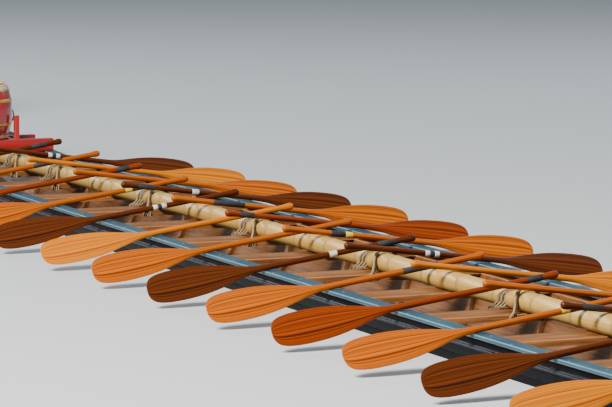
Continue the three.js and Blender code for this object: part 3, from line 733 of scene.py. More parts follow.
# %% Floor timbers, floorboards, thwarts, decks and platform
INSIDE = {
    "frames_and_keelson": ("inner_wood", INNER_WOOD, 0.003),
    "floorboard_port": ("inner_wood", BOARD_WOOD, 0.002),
    "floorboard_starboard": ("inner_wood", BOARD_WOOD, 0.002),
    "seat_frame": ("thwart_wood", THWART_WOOD, 0.005),
    "bow_deck": ("inner_wood", DECK_WOOD, 0.002),
    "stern_deck": ("inner_wood", DECK_WOOD, 0.002),
    "helm_platform": ("thwart_wood", THWART_WOOD, 0.004),
    "steering_arm": ("inner_wood", INNER_WOOD, 0.005),
    "drum_stand": ("drum_lacquer", RED, 0.004),
}
for name, (slot, material, bevel) in INSIDE.items():
    finish_piece(planed_copy(name, bevel), "hull", [material], [name])

SEAT_BOARD = 0.03  # the faces of the seat's board are no further below its top than this
SEAT_LEG_OUT = 0.2  # the legs are further out than this
seat = planed_copy("drummer_seat", 0.004)
finish_piece(seat, "hull", [THWART_WOOD, UPRIGHT_WOOD], ["drummer_seat"])
seat_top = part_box("drummer_seat")[1].z
for face in seat.data.polygons:
    on_leg = abs(face.center.y) > SEAT_LEG_OUT and face.center.z < seat_top - SEAT_BOARD
    face.material_index = 1 if on_leg and abs(face.normal.z) < 0.5 else 0
print(f"dressed {len(INSIDE) + 1} pieces inside the hull")

# %% [markdown]
# ## Paddles
# Each paddle is one piece of wood: a round grip, a straight shaft, and a long leaf of a blade with
# a low ridge down its middle. It is drawn out once from a table of stations and then copied to
# where each packed paddle lies. The longest direction of a packed paddle's points is its shaft,
# and the next longest is the width of its blade.


# %% Finding how a packed paddle lies
STEPS_TO_SETTLE = 12  # a direction is turned towards the points' spread this many times


def lie_of(node_name):
    """A matrix that takes X from blade tip to grip, Y across the blade and Z through it."""
    points = {tuple(round(c, 5) for c in v.co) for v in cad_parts[node_name].data.vertices}
    points = [Vector(p) for p in points]
    middle = sum(points, Vector()) / len(points)
    spokes = [p - middle for p in points]
    along = max(spokes, key=lambda v: v.length)
    for _ in range(STEPS_TO_SETTLE):
        along = sum((v * v.dot(along) for v in spokes), Vector()).normalized()
    off_line = [v - v.dot(along) * along for v in spokes]
    across = max(off_line, key=lambda v: v.length)
    for _ in range(STEPS_TO_SETTLE):
        across = sum((v * v.dot(across) for v in off_line), Vector()).normalized()
    widest = max(range(len(points)), key=lambda i: off_line[i].length)
    if spokes[widest].dot(along) > 0:
        along = -along
    if across.z < 0:
        across = -across
    tip = middle + along * min(v.dot(along) for v in spokes)
    through = along.cross(across)
    turn = Matrix((along, across, through)).transposed().to_4x4()
    return Matrix.Translation(tip) @ turn


# %% Carving one paddle
PADDLE_STATIONS = [
    # metres from the tip, half width, half thickness
    (0.000, 0.016, 0.0016), (0.005, 0.036, 0.0022), (0.018, 0.056, 0.003), (0.045, 0.070, 0.0038),
    (0.095, 0.0785, 0.0045), (0.170, 0.0805, 0.0052), (0.250, 0.077, 0.006), (0.330, 0.067, 0.007),
    (0.400, 0.052, 0.0085), (0.460, 0.037, 0.0105), (0.510, 0.025, 0.0125), (0.555, 0.0175, 0.0143),
    (0.600, 0.0152, 0.015), (0.900, 0.0148, 0.0148), (1.150, 0.0147, 0.0147), (1.330, 0.0148, 0.0148),
    (1.352, 0.0165, 0.0165), (1.370, 0.0195, 0.0185), (1.388, 0.0195, 0.0185), (1.398, 0.014, 0.0135),
    (1.400, 0.006, 0.006),
]
RIDGE = 0.0035  # how far the ridge stands off the blade
RIDGE_HALF = 0.004  # points of the blade nearer to its middle line than this are lifted
RIDGE_BEGIN = 0.03
RIDGE_END = 0.56
RIDGE_RISE = 0.3  # metres over which the ridge comes up from the tip
RIDGE_FALL = 0.15  # metres over which it sinks into the shaft
THICKNESS_IN_CHART = 0.5  # so that the grain doesn't smear where the surface turns away


def wood_chart(piece):
    """A UV map in metres along and across a piece that lies along X."""
    chart = piece.data.uv_layers.new(name="grain")
    for loop in piece.data.loops:
        co = piece.data.vertices[loop.vertex_index].co
        chart.data[loop.index].uv = (co.x, co.y + THICKNESS_IN_CHART * co.z)
    return piece


def carve_paddle():
    """One paddle along X with its tip at the origin, ridged, smooth, and with its UV map in metres."""
    piece = drawn_out("paddle_blank", PADDLE_STATIONS, sides=16)
    for vertex in piece.data.vertices:
        x, y, z = vertex.co
        if RIDGE_BEGIN < x < RIDGE_END and abs(y) < RIDGE_HALF:
            rise = math.sin(math.pi * min(1, (x - RIDGE_BEGIN) / RIDGE_RISE) / 2)
            fall = min(1, (RIDGE_END - x) / RIDGE_FALL)
            vertex.co.z += math.copysign(RIDGE * (rise * fall), z)
    modify(piece, "SUBSURF", levels=2, render_levels=2)
    return wood_chart(smooth(piece, SOFT))


# %% Paddle wood and tape
def tape_finish(name, color):
    """Cloth tape wound on a shaft."""
    made, tree, shader, places, _ = start_finish(name)
    scuff = placed(tree, SCUFF, Vector=places, Scale=30.0)
    cloth = mixed(tree, scuff["Clouds"], color, toned(color, 0.55))
    tree.links.new(cloth, shader.inputs["Base Color"])
    shader.inputs["Roughness"].default_value = 0.7
    bump(tree, shader, scuff["Clouds"], 0.2, 0.0005)
    return made


PADDLE_TONES = [
    # name, light grain, dark grain, roughness, strength of the streaks, and grime
    ("amber", (0.70, 0.170, 0.0005), (0.13, 0.020, 0.002), 0.24, 0.85, 0.12),
    ("brown", (0.17, 0.036, 0.004), (0.018, 0.004, 0.001), 0.26, 0.85, 0.2),
    ("honey", (0.80, 0.27, 0.001), (0.26, 0.050, 0.003), 0.24, 0.8, 0.12),
    ("red_brown", (0.40, 0.060, 0.004), (0.048, 0.007, 0.001), 0.25, 0.85, 0.15),
]
PADDLE_WOODS = {
    name: wood_finish(
        f"paddle_{name}", light, dark, (2.2, 75, 75), gloss, streaks, use_uv=True, grime=grime,
        coat=0.06, shine=0.18,
    )
    for name, light, dark, gloss, streaks, grime in PADDLE_TONES
}
TAPES = {
    "black": tape_finish("black_tape", (0.02, 0.02, 0.022)),
    "yellow": tape_finish("yellow_tape", (0.75, 0.52, 0.05)),
    "white": tape_finish("white_tape", (0.72, 0.72, 0.68)),
}
print(f"{len(PADDLE_WOODS)} woods and {len(TAPES)} tapes for the paddles")


# %% Laying the paddles
TAPE_PLANS = [
    # bands of tape on a shaft: metres from the tip where each begins and ends, and its colour
    [],
    [(0.98, 1.16, "black")],
    [(1.02, 1.06, "yellow"), (1.06, 1.14, "black")],
    [],
    [(0.94, 0.98, "white"), (1.20, 1.30, "black")],
    [(1.24, 1.32, "black")],
    [(0.90, 0.925, "white"), (0.925, 0.95, "black"), (0.95, 0.975, "white")],
]
WOOD_ORDER = ("amber", "honey", "brown", "amber", "red_brown", "amber", "brown")
SHAFT_RADIUS = 0.0148
TAPE_THICK = 0.0006
GRAIN_SHIFT = (2.13, 0.71)  # how far along and across the grain one paddle's wood is from the next


def tape_band(begin, end, color):
    """A short sleeve over a paddle's shaft, its two edges drawn in a little."""
    full = SHAFT_RADIUS + TAPE_THICK
    edge = full - 0.0005
    profile = [(begin, edge), (begin + 0.001, full), (end - 0.001, full), (end, edge)]
    band = smooth(drawn_out("tape", [(x, r, r) for x, r in profile], sides=20))
    band.data.uv_layers.new(name="grain")
    band.data.materials.append(TAPES[color])
    return band


def lay_paddles():
    """One carved paddle, with its own wood and tape, at each packed paddle's place."""
    pattern = carve_paddle()
    for side in SIDES:
        for row in range(ROWS):
            node_name = f"paddle_{side}_{row + 1:02d}"
            count = row + (3 if side == "starboard" else 0)
            paddle = copy_of(pattern, f"carved_{node_name}")
            for entry in paddle.data.uv_layers["grain"].data:
                entry.uv = [place + shift * count for place, shift in zip(entry.uv, GRAIN_SHIFT)]
            paddle.data.materials.append(PADDLE_WOODS[WOOD_ORDER[count % len(WOOD_ORDER)]])
            bands = [tape_band(*band) for band in TAPE_PLANS[(count * 3) % len(TAPE_PLANS)]]
            paddle = together(f"carved_{node_name}", [paddle, *bands])
            paddle.data.transform(lie_of(node_name))
            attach(paddle, "hull")
            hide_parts(node_name)
    bpy.data.objects.remove(pattern)
    print(f"laid {2 * ROWS} paddles")


lay_paddles()

# %% [markdown]
# ## The stiffening pole
# A long bamboo pole lies along the thwarts and keeps the hull from flexing. Bamboo swells at each
# joint, with a groove under the ring. Rope lashings hold it down, crossed over the pole and passed
# under the thwart.

# %% Bamboo
pole_low, pole_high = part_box("stiffening_pole")
POLE_RADIUS = (pole_high.z - pole_low.z) / 2
POLE_Z = (pole_high.z + pole_low.z) / 2
JOINT_OFFSETS = (0.1875, 0.5625)  # from each thwart to the joints after it
JOINT_PROFILE = [
    # metres along the pole from the joint, and how far the stem swells or sinks there
    (-0.022, 0.0), (-0.008, 0.0022), (-0.002, 0.0026), (0.001, -0.0018), (0.006, 0.0012), (0.02, 0.0),
]
POLE_END = (0.003, 0.004)  # how far in and down the pole's ends are rounded
print(f"the pole is {pole_high.x - pole_low.x:.2f} m long and {2000 * POLE_RADIUS:.0f} mm thick")


def bamboo_finish():
    """Straw colour with dark, powdery rings at the joints and fine streaks along the stem."""
    made, tree, shader, places, along = start_finish("bamboo", (1.6, 90, 90))
    grain = placed(tree, GRAIN, Vector=along)
    split = node(tree, "ShaderNodeSeparateXYZ", Vector=places).outputs["X"]
    start = ROW_X[0] + JOINT_OFFSETS[0]
    phase = math_node(tree, "DIVIDE", math_node(tree, "SUBTRACT", split, start), PITCH / 2)
    share = math_node(tree, "FRACT", math_node(tree, "ADD", phase, 0.5))
    off = math_node(tree, "ABSOLUTE", math_node(tree, "SUBTRACT", share, 0.5))
    ring = ranged(tree, off, 0.05, 0.0)
    streaks = math_node(tree, "MULTIPLY", grain["Streaks"], 0.5)
    color = mixed(tree, streaks, (0.48, 0.29, 0.065), (0.25, 0.13, 0.03))
    color = mixed(tree, math_node(tree, "MULTIPLY", grain["Tone"], 0.45), color, (0.40, 0.36, 0.13))
    color = mixed(tree, math_node(tree, "MULTIPLY", ring, 0.75), color, (0.15, 0.10, 0.05))
    tree.links.new(color, shader.inputs["Base Color"])
    tree.links.new(ranged(tree, grain["Streaks"], 0, 1, 0.3, 0.48), shader.inputs["Roughness"])
    shader.inputs["Specular IOR Level"].default_value = 0.35
    bump(tree, shader, grain["Streaks"], 0.2, 0.0006)
    return made


BAMBOO = bamboo_finish()


def grow_pole():
    """The pole, drawn out from one end to the other through all its joints."""
    clear = 0.05  # no joint is nearer to an end of the pole than this
    joints = sorted(x + off for x in [ROW_X[0] - PITCH, *ROW_X] for off in JOINT_OFFSETS)
    joints = [x for x in joints if pole_low.x + clear < x < pole_high.x - clear]
    inset, drop = POLE_END
    stations = [(pole_low.x, POLE_RADIUS - drop), (pole_low.x + inset, POLE_RADIUS)]
    for joint in joints:
        stations += [(joint + dx, POLE_RADIUS + dr) for dx, dr in JOINT_PROFILE]
    stations += [(pole_high.x - inset, POLE_RADIUS), (pole_high.x, POLE_RADIUS - drop)]
    pole = drawn_out("bamboo_pole", [(x, r, r) for x, r in stations], sides=32)
    pole.data.transform(Matrix.Translation((0, 0, POLE_Z)))
    finish_piece(smooth(pole, 50), "hull", [BAMBOO], ["stiffening_pole"])
    print(f"bamboo with {len(joints)} joints")


grow_pole()

# %% Lashings over the pole
# The second colour is the painted shade in the grooves between the strands
ROPE = rope_finish("hemp_rope", (0.44, 0.33, 0.19), (0.13, 0.09, 0.05))
ROPE_RADIUS = 0.0052
THWART_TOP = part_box("seat_frame")[1].z
THWART_THICK = 0.0282
THWART_HALF = 0.1  # half of a thwart's width, fore and aft
TURN_SPACING = 2.35 * ROPE_RADIUS
FOOT_Y = 0.082  # how far out from the pole's middle a turn comes down to the thwart
KNEE_Y, KNEE_LIFT = 0.066, 0.008  # where it bends before that, and how far over the foot
BEND_Y = 0.086  # where it goes over the thwart's edge
BEND_DROP = 0.010  # how far under the thwart's top it is there
TUCK = 0.006  # how far in from the edge it bends again, under the thwart


def lashing_turn(x, lean, step):
    """One turn: over the pole on a slant, down to the thwart's edges and back under it."""
    over = POLE_RADIUS + ROPE_RADIUS
    arc = []
    for angle in range(-100, 101, 20):
        turn = math.radians(angle)
        arc.append((math.sin(turn) * over, POLE_Z + math.cos(turn) * over))
    low = THWART_TOP + ROPE_RADIUS
    knee = low + KNEE_LIFT
    path = [(-FOOT_Y, low), (-KNEE_Y, knee), *arc, (KNEE_Y, knee), (FOOT_Y, low)]
    edge = THWART_HALF + ROPE_RADIUS
    side = THWART_TOP - BEND_DROP
    under = THWART_TOP - THWART_THICK - ROPE_RADIUS
    slide = lean * step
    points = [(x + lean * y / FOOT_Y * edge + step, y + slide, z) for y, z in path]
    points += [
        (x + lean * edge + step * 0.2, BEND_Y + slide, side),
        (x + lean * (edge - TUCK), BEND_Y + slide, under),
        (x - lean * (edge - TUCK), -BEND_Y + slide, under),
        (x - lean * edge + step * 0.2, -BEND_Y + slide, side),
    ]
    return rope_run("turn", points, ROPE_RADIUS)


def lash_pole():
    """A crossed lashing on every other thwart and the last, four turns each way."""
    places = ROW_X[::2] + [ROW_X[-1]]
    for count, x in enumerate(places):
        turns = []
        for lean in (-1, 1):
            for k in range(4):
                turns.append(lashing_turn(x, lean, (k - 1.5) * TURN_SPACING))
        piece = smooth(together(f"pole_lashing_{count + 1}", turns), SOFT)
        finish_piece(piece, "hull", [ROPE])
    print(f"{len(places)} lashings of {len(turns)} turns")


lash_pole()

# %% [markdown]
# ## Fastenings
# The caps are nailed to the planks, and the thwarts are screwed to their risers. Such heads are
# small, but they are what tells a painted plank from a plastic one. One head is made and copied.


# %% Finding a surface, and copying to it
def shell_of(piece):
    """A piece's faces, ready to be searched by a ray."""
    mesh = piece.data
    return BVHTree.FromPolygons([v.co for v in mesh.vertices], [tuple(p.vertices) for p in mesh.polygons])


def scatter(name, pattern, matrices):
    """Copies of a pattern at many places, joined into one piece."""
    copies = []
    for matrix in matrices:
        copy = copy_of(pattern, "copy")
        copy.data.transform(matrix)
        copies.append(copy)
    bpy.data.objects.remove(pattern)
    print(f"{name}: {len(copies)} copies")
    return together(name, copies)


def facing(place, out, along=(1, 0, 0)):
    """A matrix that turns Z outwards from a surface, with X as near to along as it can be."""
    z = Vector(out).normalized()
    y = z.cross(Vector(along)).normalized()
    x = y.cross(z)
    return Matrix.Translation(place) @ Matrix((x, y, z)).transposed().to_4x4()


# %% Nail heads on the caps and screws in the thwarts
def carve_nail(radius, height):
    """A low domed head."""
    bpy.ops.mesh.primitive_circle_add(vertices=10, radius=radius, fill_type="NGON")
    head = bpy.context.object
    bpy.ops.object.mode_set(mode="EDIT")
    bpy.ops.mesh.select_all(action="SELECT")
    for rise, shrink in ((0.6, 0.86), (0.4, 0.5)):
        bpy.ops.mesh.extrude_region_move(TRANSFORM_OT_translate={"value": (0, 0, rise * height)})
        bpy.ops.transform.resize(value=(shrink, shrink, 1), center_override=(0, 0, 0))
    bpy.ops.object.mode_set(mode="OBJECT")
    return smooth(weld(head), 50)


BRONZE = metal_finish("bronze", (0.50, 0.34, 0.16), (0.16, 0.12, 0.08), 0.32)
UPWARD = (0, 0, 1)
NAIL_STEP = 0.25
NAIL_LINE = 0.012  # the nails' line is this far in from the hull's outside
NAIL_STAGGER = 0.016  # and they stand this far to either side of it in turn
SCREW_IN = 0.085  # from the hull's outside to a thwart's screws
SCREW_STEP = 0.06  # from a thwart's middle, fore and aft


def nail_caps(side, sign):
    """A staggered row of nail heads along one cap, each square to its slope."""
    matrices = []
    for k, x in enumerate(NAIL_STEP * (n + 0.5) for n in range(-32, 31)):
        y = half_beam(x) - NAIL_LINE + NAIL_STAGGER * (-1) ** k
        slope = (sheer(x + 0.01) - sheer(x - 0.01)) / 0.02
        matrices.append(facing((x, sign * y, sheer(x)), (-slope, 0, 1)))
    heads = scatter(f"cap_nails_{side}", carve_nail(0.0055, 0.0014), matrices)
    finish_piece(heads, "hull", [BRONZE])


for side, sign in SIDES.items():
    nail_caps(side, sign)

screws = []
for x in ROW_X:
    y = half_beam(abs(x) + THWART_HALF) - SCREW_IN
    for sign in (1, -1):
        for step in (-SCREW_STEP, SCREW_STEP):
            screws.append(facing((x + step, sign * y, THWART_TOP), UPWARD))
finish_piece(scatter("thwart_screws", carve_nail(0.007, 0.0012), screws), "hull", [BRONZE])

# %% [markdown]
# ## Drum and drumsticks
# A barrel with a hide tacked over each end. The barrel is a blank drawn out along its axis and then
# stood up. The hides lap over its rims, and real ones are never quite white.

# %% The drum's lines
drum_low, drum_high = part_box("drum")
DRUM_CENTRE = (drum_low + drum_high) / 2
DRUM_HALF = (drum_high.z - drum_low.z) / 2
DRUM_RADIUS = 0.2105  # of the shell, at its middle
DRUM_TAPER = 0.031  # how much smaller it is at its ends
print(f"the drum is {drum_high.z - drum_low.z:.2f} m high and {2 * DRUM_RADIUS:.2f} m across")


def stood_up(piece, place):
    """Turns a piece that was drawn out along X upright, and moves it."""
    piece.data.transform(Matrix.Translation(place) @ Matrix.Rotation(-math.pi / 2, 4, "Y"))
    return piece


def barrel_radius(height):
    """The shell's radius at a height from its middle."""
    return DRUM_RADIUS - DRUM_TAPER * abs(height / DRUM_HALF) ** 2.2


# %% The barrel, its hides and their tacks
HIDE = wood_finish(
    "drum_hide", (0.80, 0.70, 0.52), (0.50, 0.36, 0.20), (5, 5, 5), gloss=0.55, streaks=0.25, grime=0.45
)
SHELL_HALF = 0.166  # from the drum's middle to the shell's rims, under the hides
SHELL_ROWS = 20
SHELL_MOUTH = 0.150  # the radius of the flat that closes each rim
HIDE_REACH = 0.15  # the height at which the shell's radius gives the hides their size
TACKS = 44  # round each end
TACK_HEIGHT = 0.134
TACK_OUT = 0.0035  # from the shell to the hide that a tack sits on


def build_drum():
    """The shell, the hides with their laps, and two rows of tacks."""
    levels = [-SHELL_HALF + 2 * SHELL_HALF * k / SHELL_ROWS for k in range(SHELL_ROWS + 1)]
    shell_rows = [(x, barrel_radius(x)) for x in levels]
    shell_rows = [(-SHELL_HALF, SHELL_MOUTH), *shell_rows, (SHELL_HALF, SHELL_MOUTH)]
    blank = drawn_out("drum_shell", [(x, r, r) for x, r in shell_rows], sides=64)
    shell = smooth(stood_up(blank, DRUM_CENTRE))
    finish_piece(shell, "hull", [RED], ["drum"])
    rim = barrel_radius(HIDE_REACH)
    for end, sign in (("top", 1), ("bottom", -1)):
        hide_rows = [
            # metres from the drum's middle, and radius
            (0.118, rim + 0.0015), (0.120, rim + 0.004), (0.150, rim + 0.003), (0.160, rim - 0.002),
            (0.1665, rim - 0.010), (0.1685, rim - 0.024), (0.1695, rim - 0.06), (0.1700, 0.06),
            (0.1700, 0.004),
        ]
        hide = drawn_out(f"drum_hide_{end}", [(sign * x, r, r) for x, r in hide_rows], sides=64)
        weld(stood_up(hide, DRUM_CENTRE))
        finish_piece(smooth(hide, SOFT), "hull", [HIDE])
        places = []
        for k in range(TACKS):
            turn = math.tau * k / TACKS
            out = Vector((math.cos(turn), math.sin(turn), 0))
            place = DRUM_CENTRE + (rim + TACK_OUT) * out + Vector((0, 0, sign * TACK_HEIGHT))
            places.append(facing(place, out, UPWARD))
        tacks = scatter(f"drum_tacks_{end}", carve_nail(0.0075, 0.005), places)
        finish_piece(tacks, "hull", [BRONZE])


build_drum()


# %% Painted bands, ring handles and the sticks
def band_round(name, height, width, thick):
    """A thin hoop around the drum's shell."""
    rows = []
    for k in range(5):
        z = height - width / 2 + width * k / 4
        rows.append((z, barrel_radius(z) + thick * (0.3 if k in (0, 4) else 1)))
    return smooth(stood_up(drawn_out(name, [(z, r, r) for z, r in rows], sides=64), DRUM_CENTRE))


GILT = paint_finish(
    "gilt_carving", (0.72, 0.40, 0.075), (0.34, 0.045, 0.02), 0.30, 0.55,
    second=(0.50, 0.23, 0.035), width=0.005, clouds=0.8, metal=0.65,
)
BAND_HEIGHT = 0.075
for name, height in (("low", -BAND_HEIGHT), ("high", BAND_HEIGHT)):
    band = band_round(f"drum_band_{name}", height, 0.02, 0.003)
    finish_piece(band, "hull", [GILT])

RING_RADIUS = 0.034
RING_OUT = 0.219  # from the drum's middle to the ring, which hangs from its boss
BOSS_OUT = 0.209
BOSS_ROWS = [(0, 0.016), (0.006, 0.015), (0.012, 0.009)]  # metres out of the shell, and radius


def drum_ring(side, sign):
    """A ring handle on a round boss."""
    bpy.ops.mesh.primitive_torus_add(
        location=DRUM_CENTRE + Vector((0, sign * RING_OUT, -RING_RADIUS)),
        rotation=(math.radians(90 - sign * 8), 0, 0),
        major_radius=RING_RADIUS, minor_radius=0.0045, major_segments=32, minor_segments=10,
    )
    ring = smooth(flatten_place(bpy.context.object), SOFT)
    boss = stood_up(drawn_out("boss", [(x, r, r) for x, r in BOSS_ROWS], 16), (0, 0, 0))
    boss.data.transform(facing(DRUM_CENTRE + Vector((0, sign * BOSS_OUT, 0)), (0, sign, 0)))
    return together(f"drum_ring_{side}", [ring, smooth(boss, 35)])


for side, sign in SIDES.items():
    finish_piece(drum_ring(side, sign), "hull", [BRONZE])

PALE_WOOD = wood_finish("stick_wood", (0.72, 0.52, 0.30), (0.42, 0.25, 0.11), (4, 80, 80))
STICK_ROWS = [(0, 0.006), (0.004, 0.0105), (0.03, 0.012), (0.33, 0.0095), (0.334, 0.006)]
STICK_BALANCE = 0.16  # from a stick's thick end to the point that is set on the hide
STICK_LIFT = 0.0125
for k, (lean, shift) in enumerate(((14, 0.04), (-9, -0.05))):
    rows = [(x - STICK_BALANCE, r, r) for x, r in STICK_ROWS]
    stick = smooth(drawn_out(f"drumstick_{k + 1}", rows, 14))
    place = Matrix.Translation(DRUM_CENTRE + Vector((shift, 0.01, DRUM_HALF + STICK_LIFT)))
    stick.data.transform(place @ Matrix.Rotation(math.radians(90 + lean), 4, "Z"))
    finish_piece(stick, "hull", [PALE_WOOD])
print(f"two bands, two rings and {k + 1} sticks on the drum")

# %% [markdown]
# ## Steering gear
# The steering oar is a paddle grown long: a thick loom, a knob to hold, and a blade that stands on
# edge. It lies in a bronze crutch that swivels in the wooden arm. Leather keeps the loom from
# wearing where it rubs, and a short rope over the crutch keeps it from jumping out.

# %% The oar
LEATHER = wood_finish(
    "oar_leather", (0.20, 0.10, 0.05), (0.07, 0.035, 0.02), (20, 20, 20), 0.55, 0.4, wear=0.5
)
OAR_WOOD = wood_finish(
    "oar_wood", (0.74, 0.29, 0.05), (0.25, 0.07, 0.012), (2.0, 55, 55), 0.28, 0.65, use_uv=True,
    coat=0.4,
)
OAR_STATIONS = [
    # metres from the blade's tip, half width, half thickness
    (0.000, 0.022, 0.003), (0.010, 0.045, 0.0045), (0.030, 0.070, 0.006), (0.080, 0.090, 0.0078),
    (0.160, 0.0985, 0.0092), (0.300, 0.0985, 0.0112), (0.420, 0.0930, 0.0128), (0.520, 0.0770, 0.0144),
    (0.610, 0.0570, 0.0160), (0.700, 0.0370, 0.0178), (0.770, 0.0250, 0.0195), (0.850, 0.0213, 0.0205),
    (1.200, 0.0225, 0.0225), (1.950, 0.0255, 0.0255), (2.750, 0.0255, 0.0255), (3.300, 0.0187, 0.0187),
    (3.630, 0.0178, 0.0178), (3.655, 0.0200, 0.0200), (3.667, 0.0236, 0.0236), (3.688, 0.0236, 0.0236),
    (3.698, 0.0160, 0.0160), (3.700, 0.0080, 0.0080),
]
oar_lie = lie_of("steering_oar")
PIVOT_FROM_TIP = 2.35
LEATHER_BEGINS = {"aft": -0.16, "fore": 0.03}  # from the pivot, positive towards the knob
LEATHER_LENGTH = 0.13
LEATHER_RADIUS = 0.0273
LOOM_RADIUS = 0.0258  # where the leather's edges come down to the loom

oar = drawn_out("carved_steering_oar", OAR_STATIONS, sides=20)
modify(oar, "SUBSURF", levels=1, render_levels=1)
wood_chart(smooth(oar, SOFT))
oar.data.transform(oar_lie)
finish_piece(oar, "steering_oar", [OAR_WOOD], ["steering_oar"])

for name, begin in LEATHER_BEGINS.items():
    first = PIVOT_FROM_TIP + begin
    last = first + LEATHER_LENGTH
    profile = [
        (first - 0.001, LOOM_RADIUS), (first, LEATHER_RADIUS), (last, LEATHER_RADIUS),
        (last + 0.001, LOOM_RADIUS),
    ]
    sleeve = smooth(drawn_out(f"oar_leather_{name}", [(x, r, r) for x, r in profile], 24))
    sleeve.data.transform(oar_lie)
    finish_piece(sleeve, "steering_oar", [LEATHER])
print(f"the oar is {OAR_STATIONS[-1][0]} m long, with {len(LEATHER_BEGINS)} leathers")

# %% Crutch, and its keeper rope
KEEPER_Y, KEEPER_X = 0.055, 0.0215  # how far the loop reaches from the crutch's middle
KEEPER_ARCH = 0.016  # how much higher it is at its middle than at the crutch's horns
KEEPER_DROP = 0.006  # how far under the horns' tops it begins
KEEPER_RADIUS = 0.0042

crutch = planed_copy("crutch", 0.0022, segments=3, sharp=30)
finish_piece(crutch, "crutch", [BRONZE], ["crutch"])
crutch_low, crutch_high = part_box("crutch")
crutch_middle = (crutch_low + crutch_high) / 2


def keeper_loop():
    """A squarish loop that is outside both horns and arches up over the oar."""
    points = []
    for angle in range(0, 360, 15):
        turn = math.radians(angle)
        y = KEEPER_Y * math.copysign(abs(math.cos(turn)) ** 0.5, math.cos(turn))
        x = KEEPER_X * math.copysign(abs(math.sin(turn)) ** 0.7, math.sin(turn))
        rise = KEEPER_ARCH * (1 - (y / KEEPER_Y) ** 2) - KEEPER_DROP
        points.append((crutch_middle.x + x, crutch_middle.y + y, crutch_high.z + rise))
    return points


keeper_points = keeper_loop()
keeper = smooth(rope_run("crutch_keeper_rope", keeper_points, KEEPER_RADIUS), SOFT)
finish_piece(keeper, "crutch", [ROPE])
keeper_length = sum(math.dist(a, b) for a, b in zip(keeper_points, keeper_points[1:] + keeper_points[:1]))
print(f"the keeper rope is {keeper_length:.2f} m round")

# %% Bolts through the steering arm
arm_low, arm_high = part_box("steering_arm")
ARM_X = (arm_low.x + arm_high.x) / 2
BOLT_IN = 0.022  # the bolts' middle is this far in from the hull's outside
BOLT_STEP = 0.014


def carve_bolt(radius, height):
    """A hexagonal head on a washer."""
    bpy.ops.mesh.primitive_circle_add(vertices=24, radius=1.7 * radius, fill_type="NGON")
    washer = bpy.context.object
    bpy.ops.object.mode_set(mode="EDIT")
    bpy.ops.mesh.select_all(action="SELECT")
    bpy.ops.mesh.extrude_region_move(TRANSFORM_OT_translate={"value": (0, 0, 0.25 * height)})
    bpy.ops.object.mode_set(mode="OBJECT")
    bpy.ops.mesh.primitive_circle_add(
        vertices=6, radius=radius, fill_type="NGON", location=(0, 0, 0.2 * height)
    )
    head = flatten_place(bpy.context.object)
    bpy.ops.object.mode_set(mode="EDIT")
    bpy.ops.mesh.select_all(action="SELECT")
    bpy.ops.mesh.extrude_region_move(TRANSFORM_OT_translate={"value": (0, 0, height)})
    bpy.ops.object.mode_set(mode="OBJECT")
    bolt = weld(together("bolt", [washer, head]))
    return smooth(modify(bolt, "BEVEL", width=0.0008, segments=2, limit_method="ANGLE"))


bolts = []
for sign in (1, -1):
    for step in (-BOLT_STEP, BOLT_STEP):
        y = sign * (half_beam(ARM_X) - BOLT_IN) + step * sign
        bolts.append(facing((ARM_X + step, y, arm_high.z), UPWARD))
finish_piece(scatter("steering_arm_bolts", carve_bolt(0.008, 0.007), bolts), "hull", [BRONZE])

# %% [markdown]
# ## The dragon's skin
# Head and tail are carved in soft wood, painted and gilded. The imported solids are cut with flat
# faces, so copies of them are remeshed into a fine even skin and smoothed, as sandpaper would.
# Carved scales are laid over the skin like tiles. A ray shot at the limb's centre line finds the
# skin, so each scale lies on it and leans the right way.

# %% Finishes of the dragon
GREEN = paint_finish(
    "green_lacquer", (0.008, 0.075, 0.042), (0.34, 0.24, 0.08), 0.28, 0.5, coat=0.4, width=0.004
)
HORN = wood_finish(
    "antler_paint", (0.66, 0.53, 0.33), (0.26, 0.16, 0.08), (9, 9, 9), 0.42, 0.6, wear=0.5, grime=0.5
)
PINK = paint_finish("tongue_red", (0.46, 0.022, 0.026), (0.20, 0.02, 0.015), 0.16, 0.2, coat=0.7)
print(f"{len(bpy.data.materials)} materials by now")


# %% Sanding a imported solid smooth
FOOT_SUNK = 0.002  # how far the foot of a limb is let into its end block
FOOT_HEIGHT = 0.016  # points that are less than this above the foot belong to it


def sanded_copy(node_name, grain=0.009, passes=10):
    """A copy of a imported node, remeshed to an even grain and smoothed."""
    copy = planed_copy(node_name, 0, name=f"sanded_{node_name}")
    modify(copy, "REMESH", mode="VOXEL", voxel_size=grain, adaptivity=0)
    modify(copy, "SMOOTH", factor=0.5, iterations=passes)
    return all_smooth(copy)


def seat_on_block(piece):
    """Brings the lowest part of a limb down, or up, to the top of its end block."""
    for vertex in piece.data.vertices:
        level = sheer(vertex.co.x) - FOOT_SUNK
        if vertex.co.z < level + FOOT_HEIGHT:
            vertex.co.z = level
    return piece


# %% Walking along a limb
# Each limb's middle line, as points of (x, z) from its foot up
NECK_LINE = [(8.13, 0.72), (8.19, 0.82), (8.30, 0.96), (8.37, 1.10), (8.39, 1.25), (8.42, 1.36)]
TAIL_LINE = [
    (-8.13, 0.72), (-8.205, 0.83), (-8.35, 0.98), (-8.52, 1.13), (-8.64, 1.30), (-8.64, 1.48),
    (-8.54, 1.62),
]
ACROSS = Vector((0, 1, 0))
RAY_START = 0.4  # a ray starts this far from a limb's middle, well outside its skin


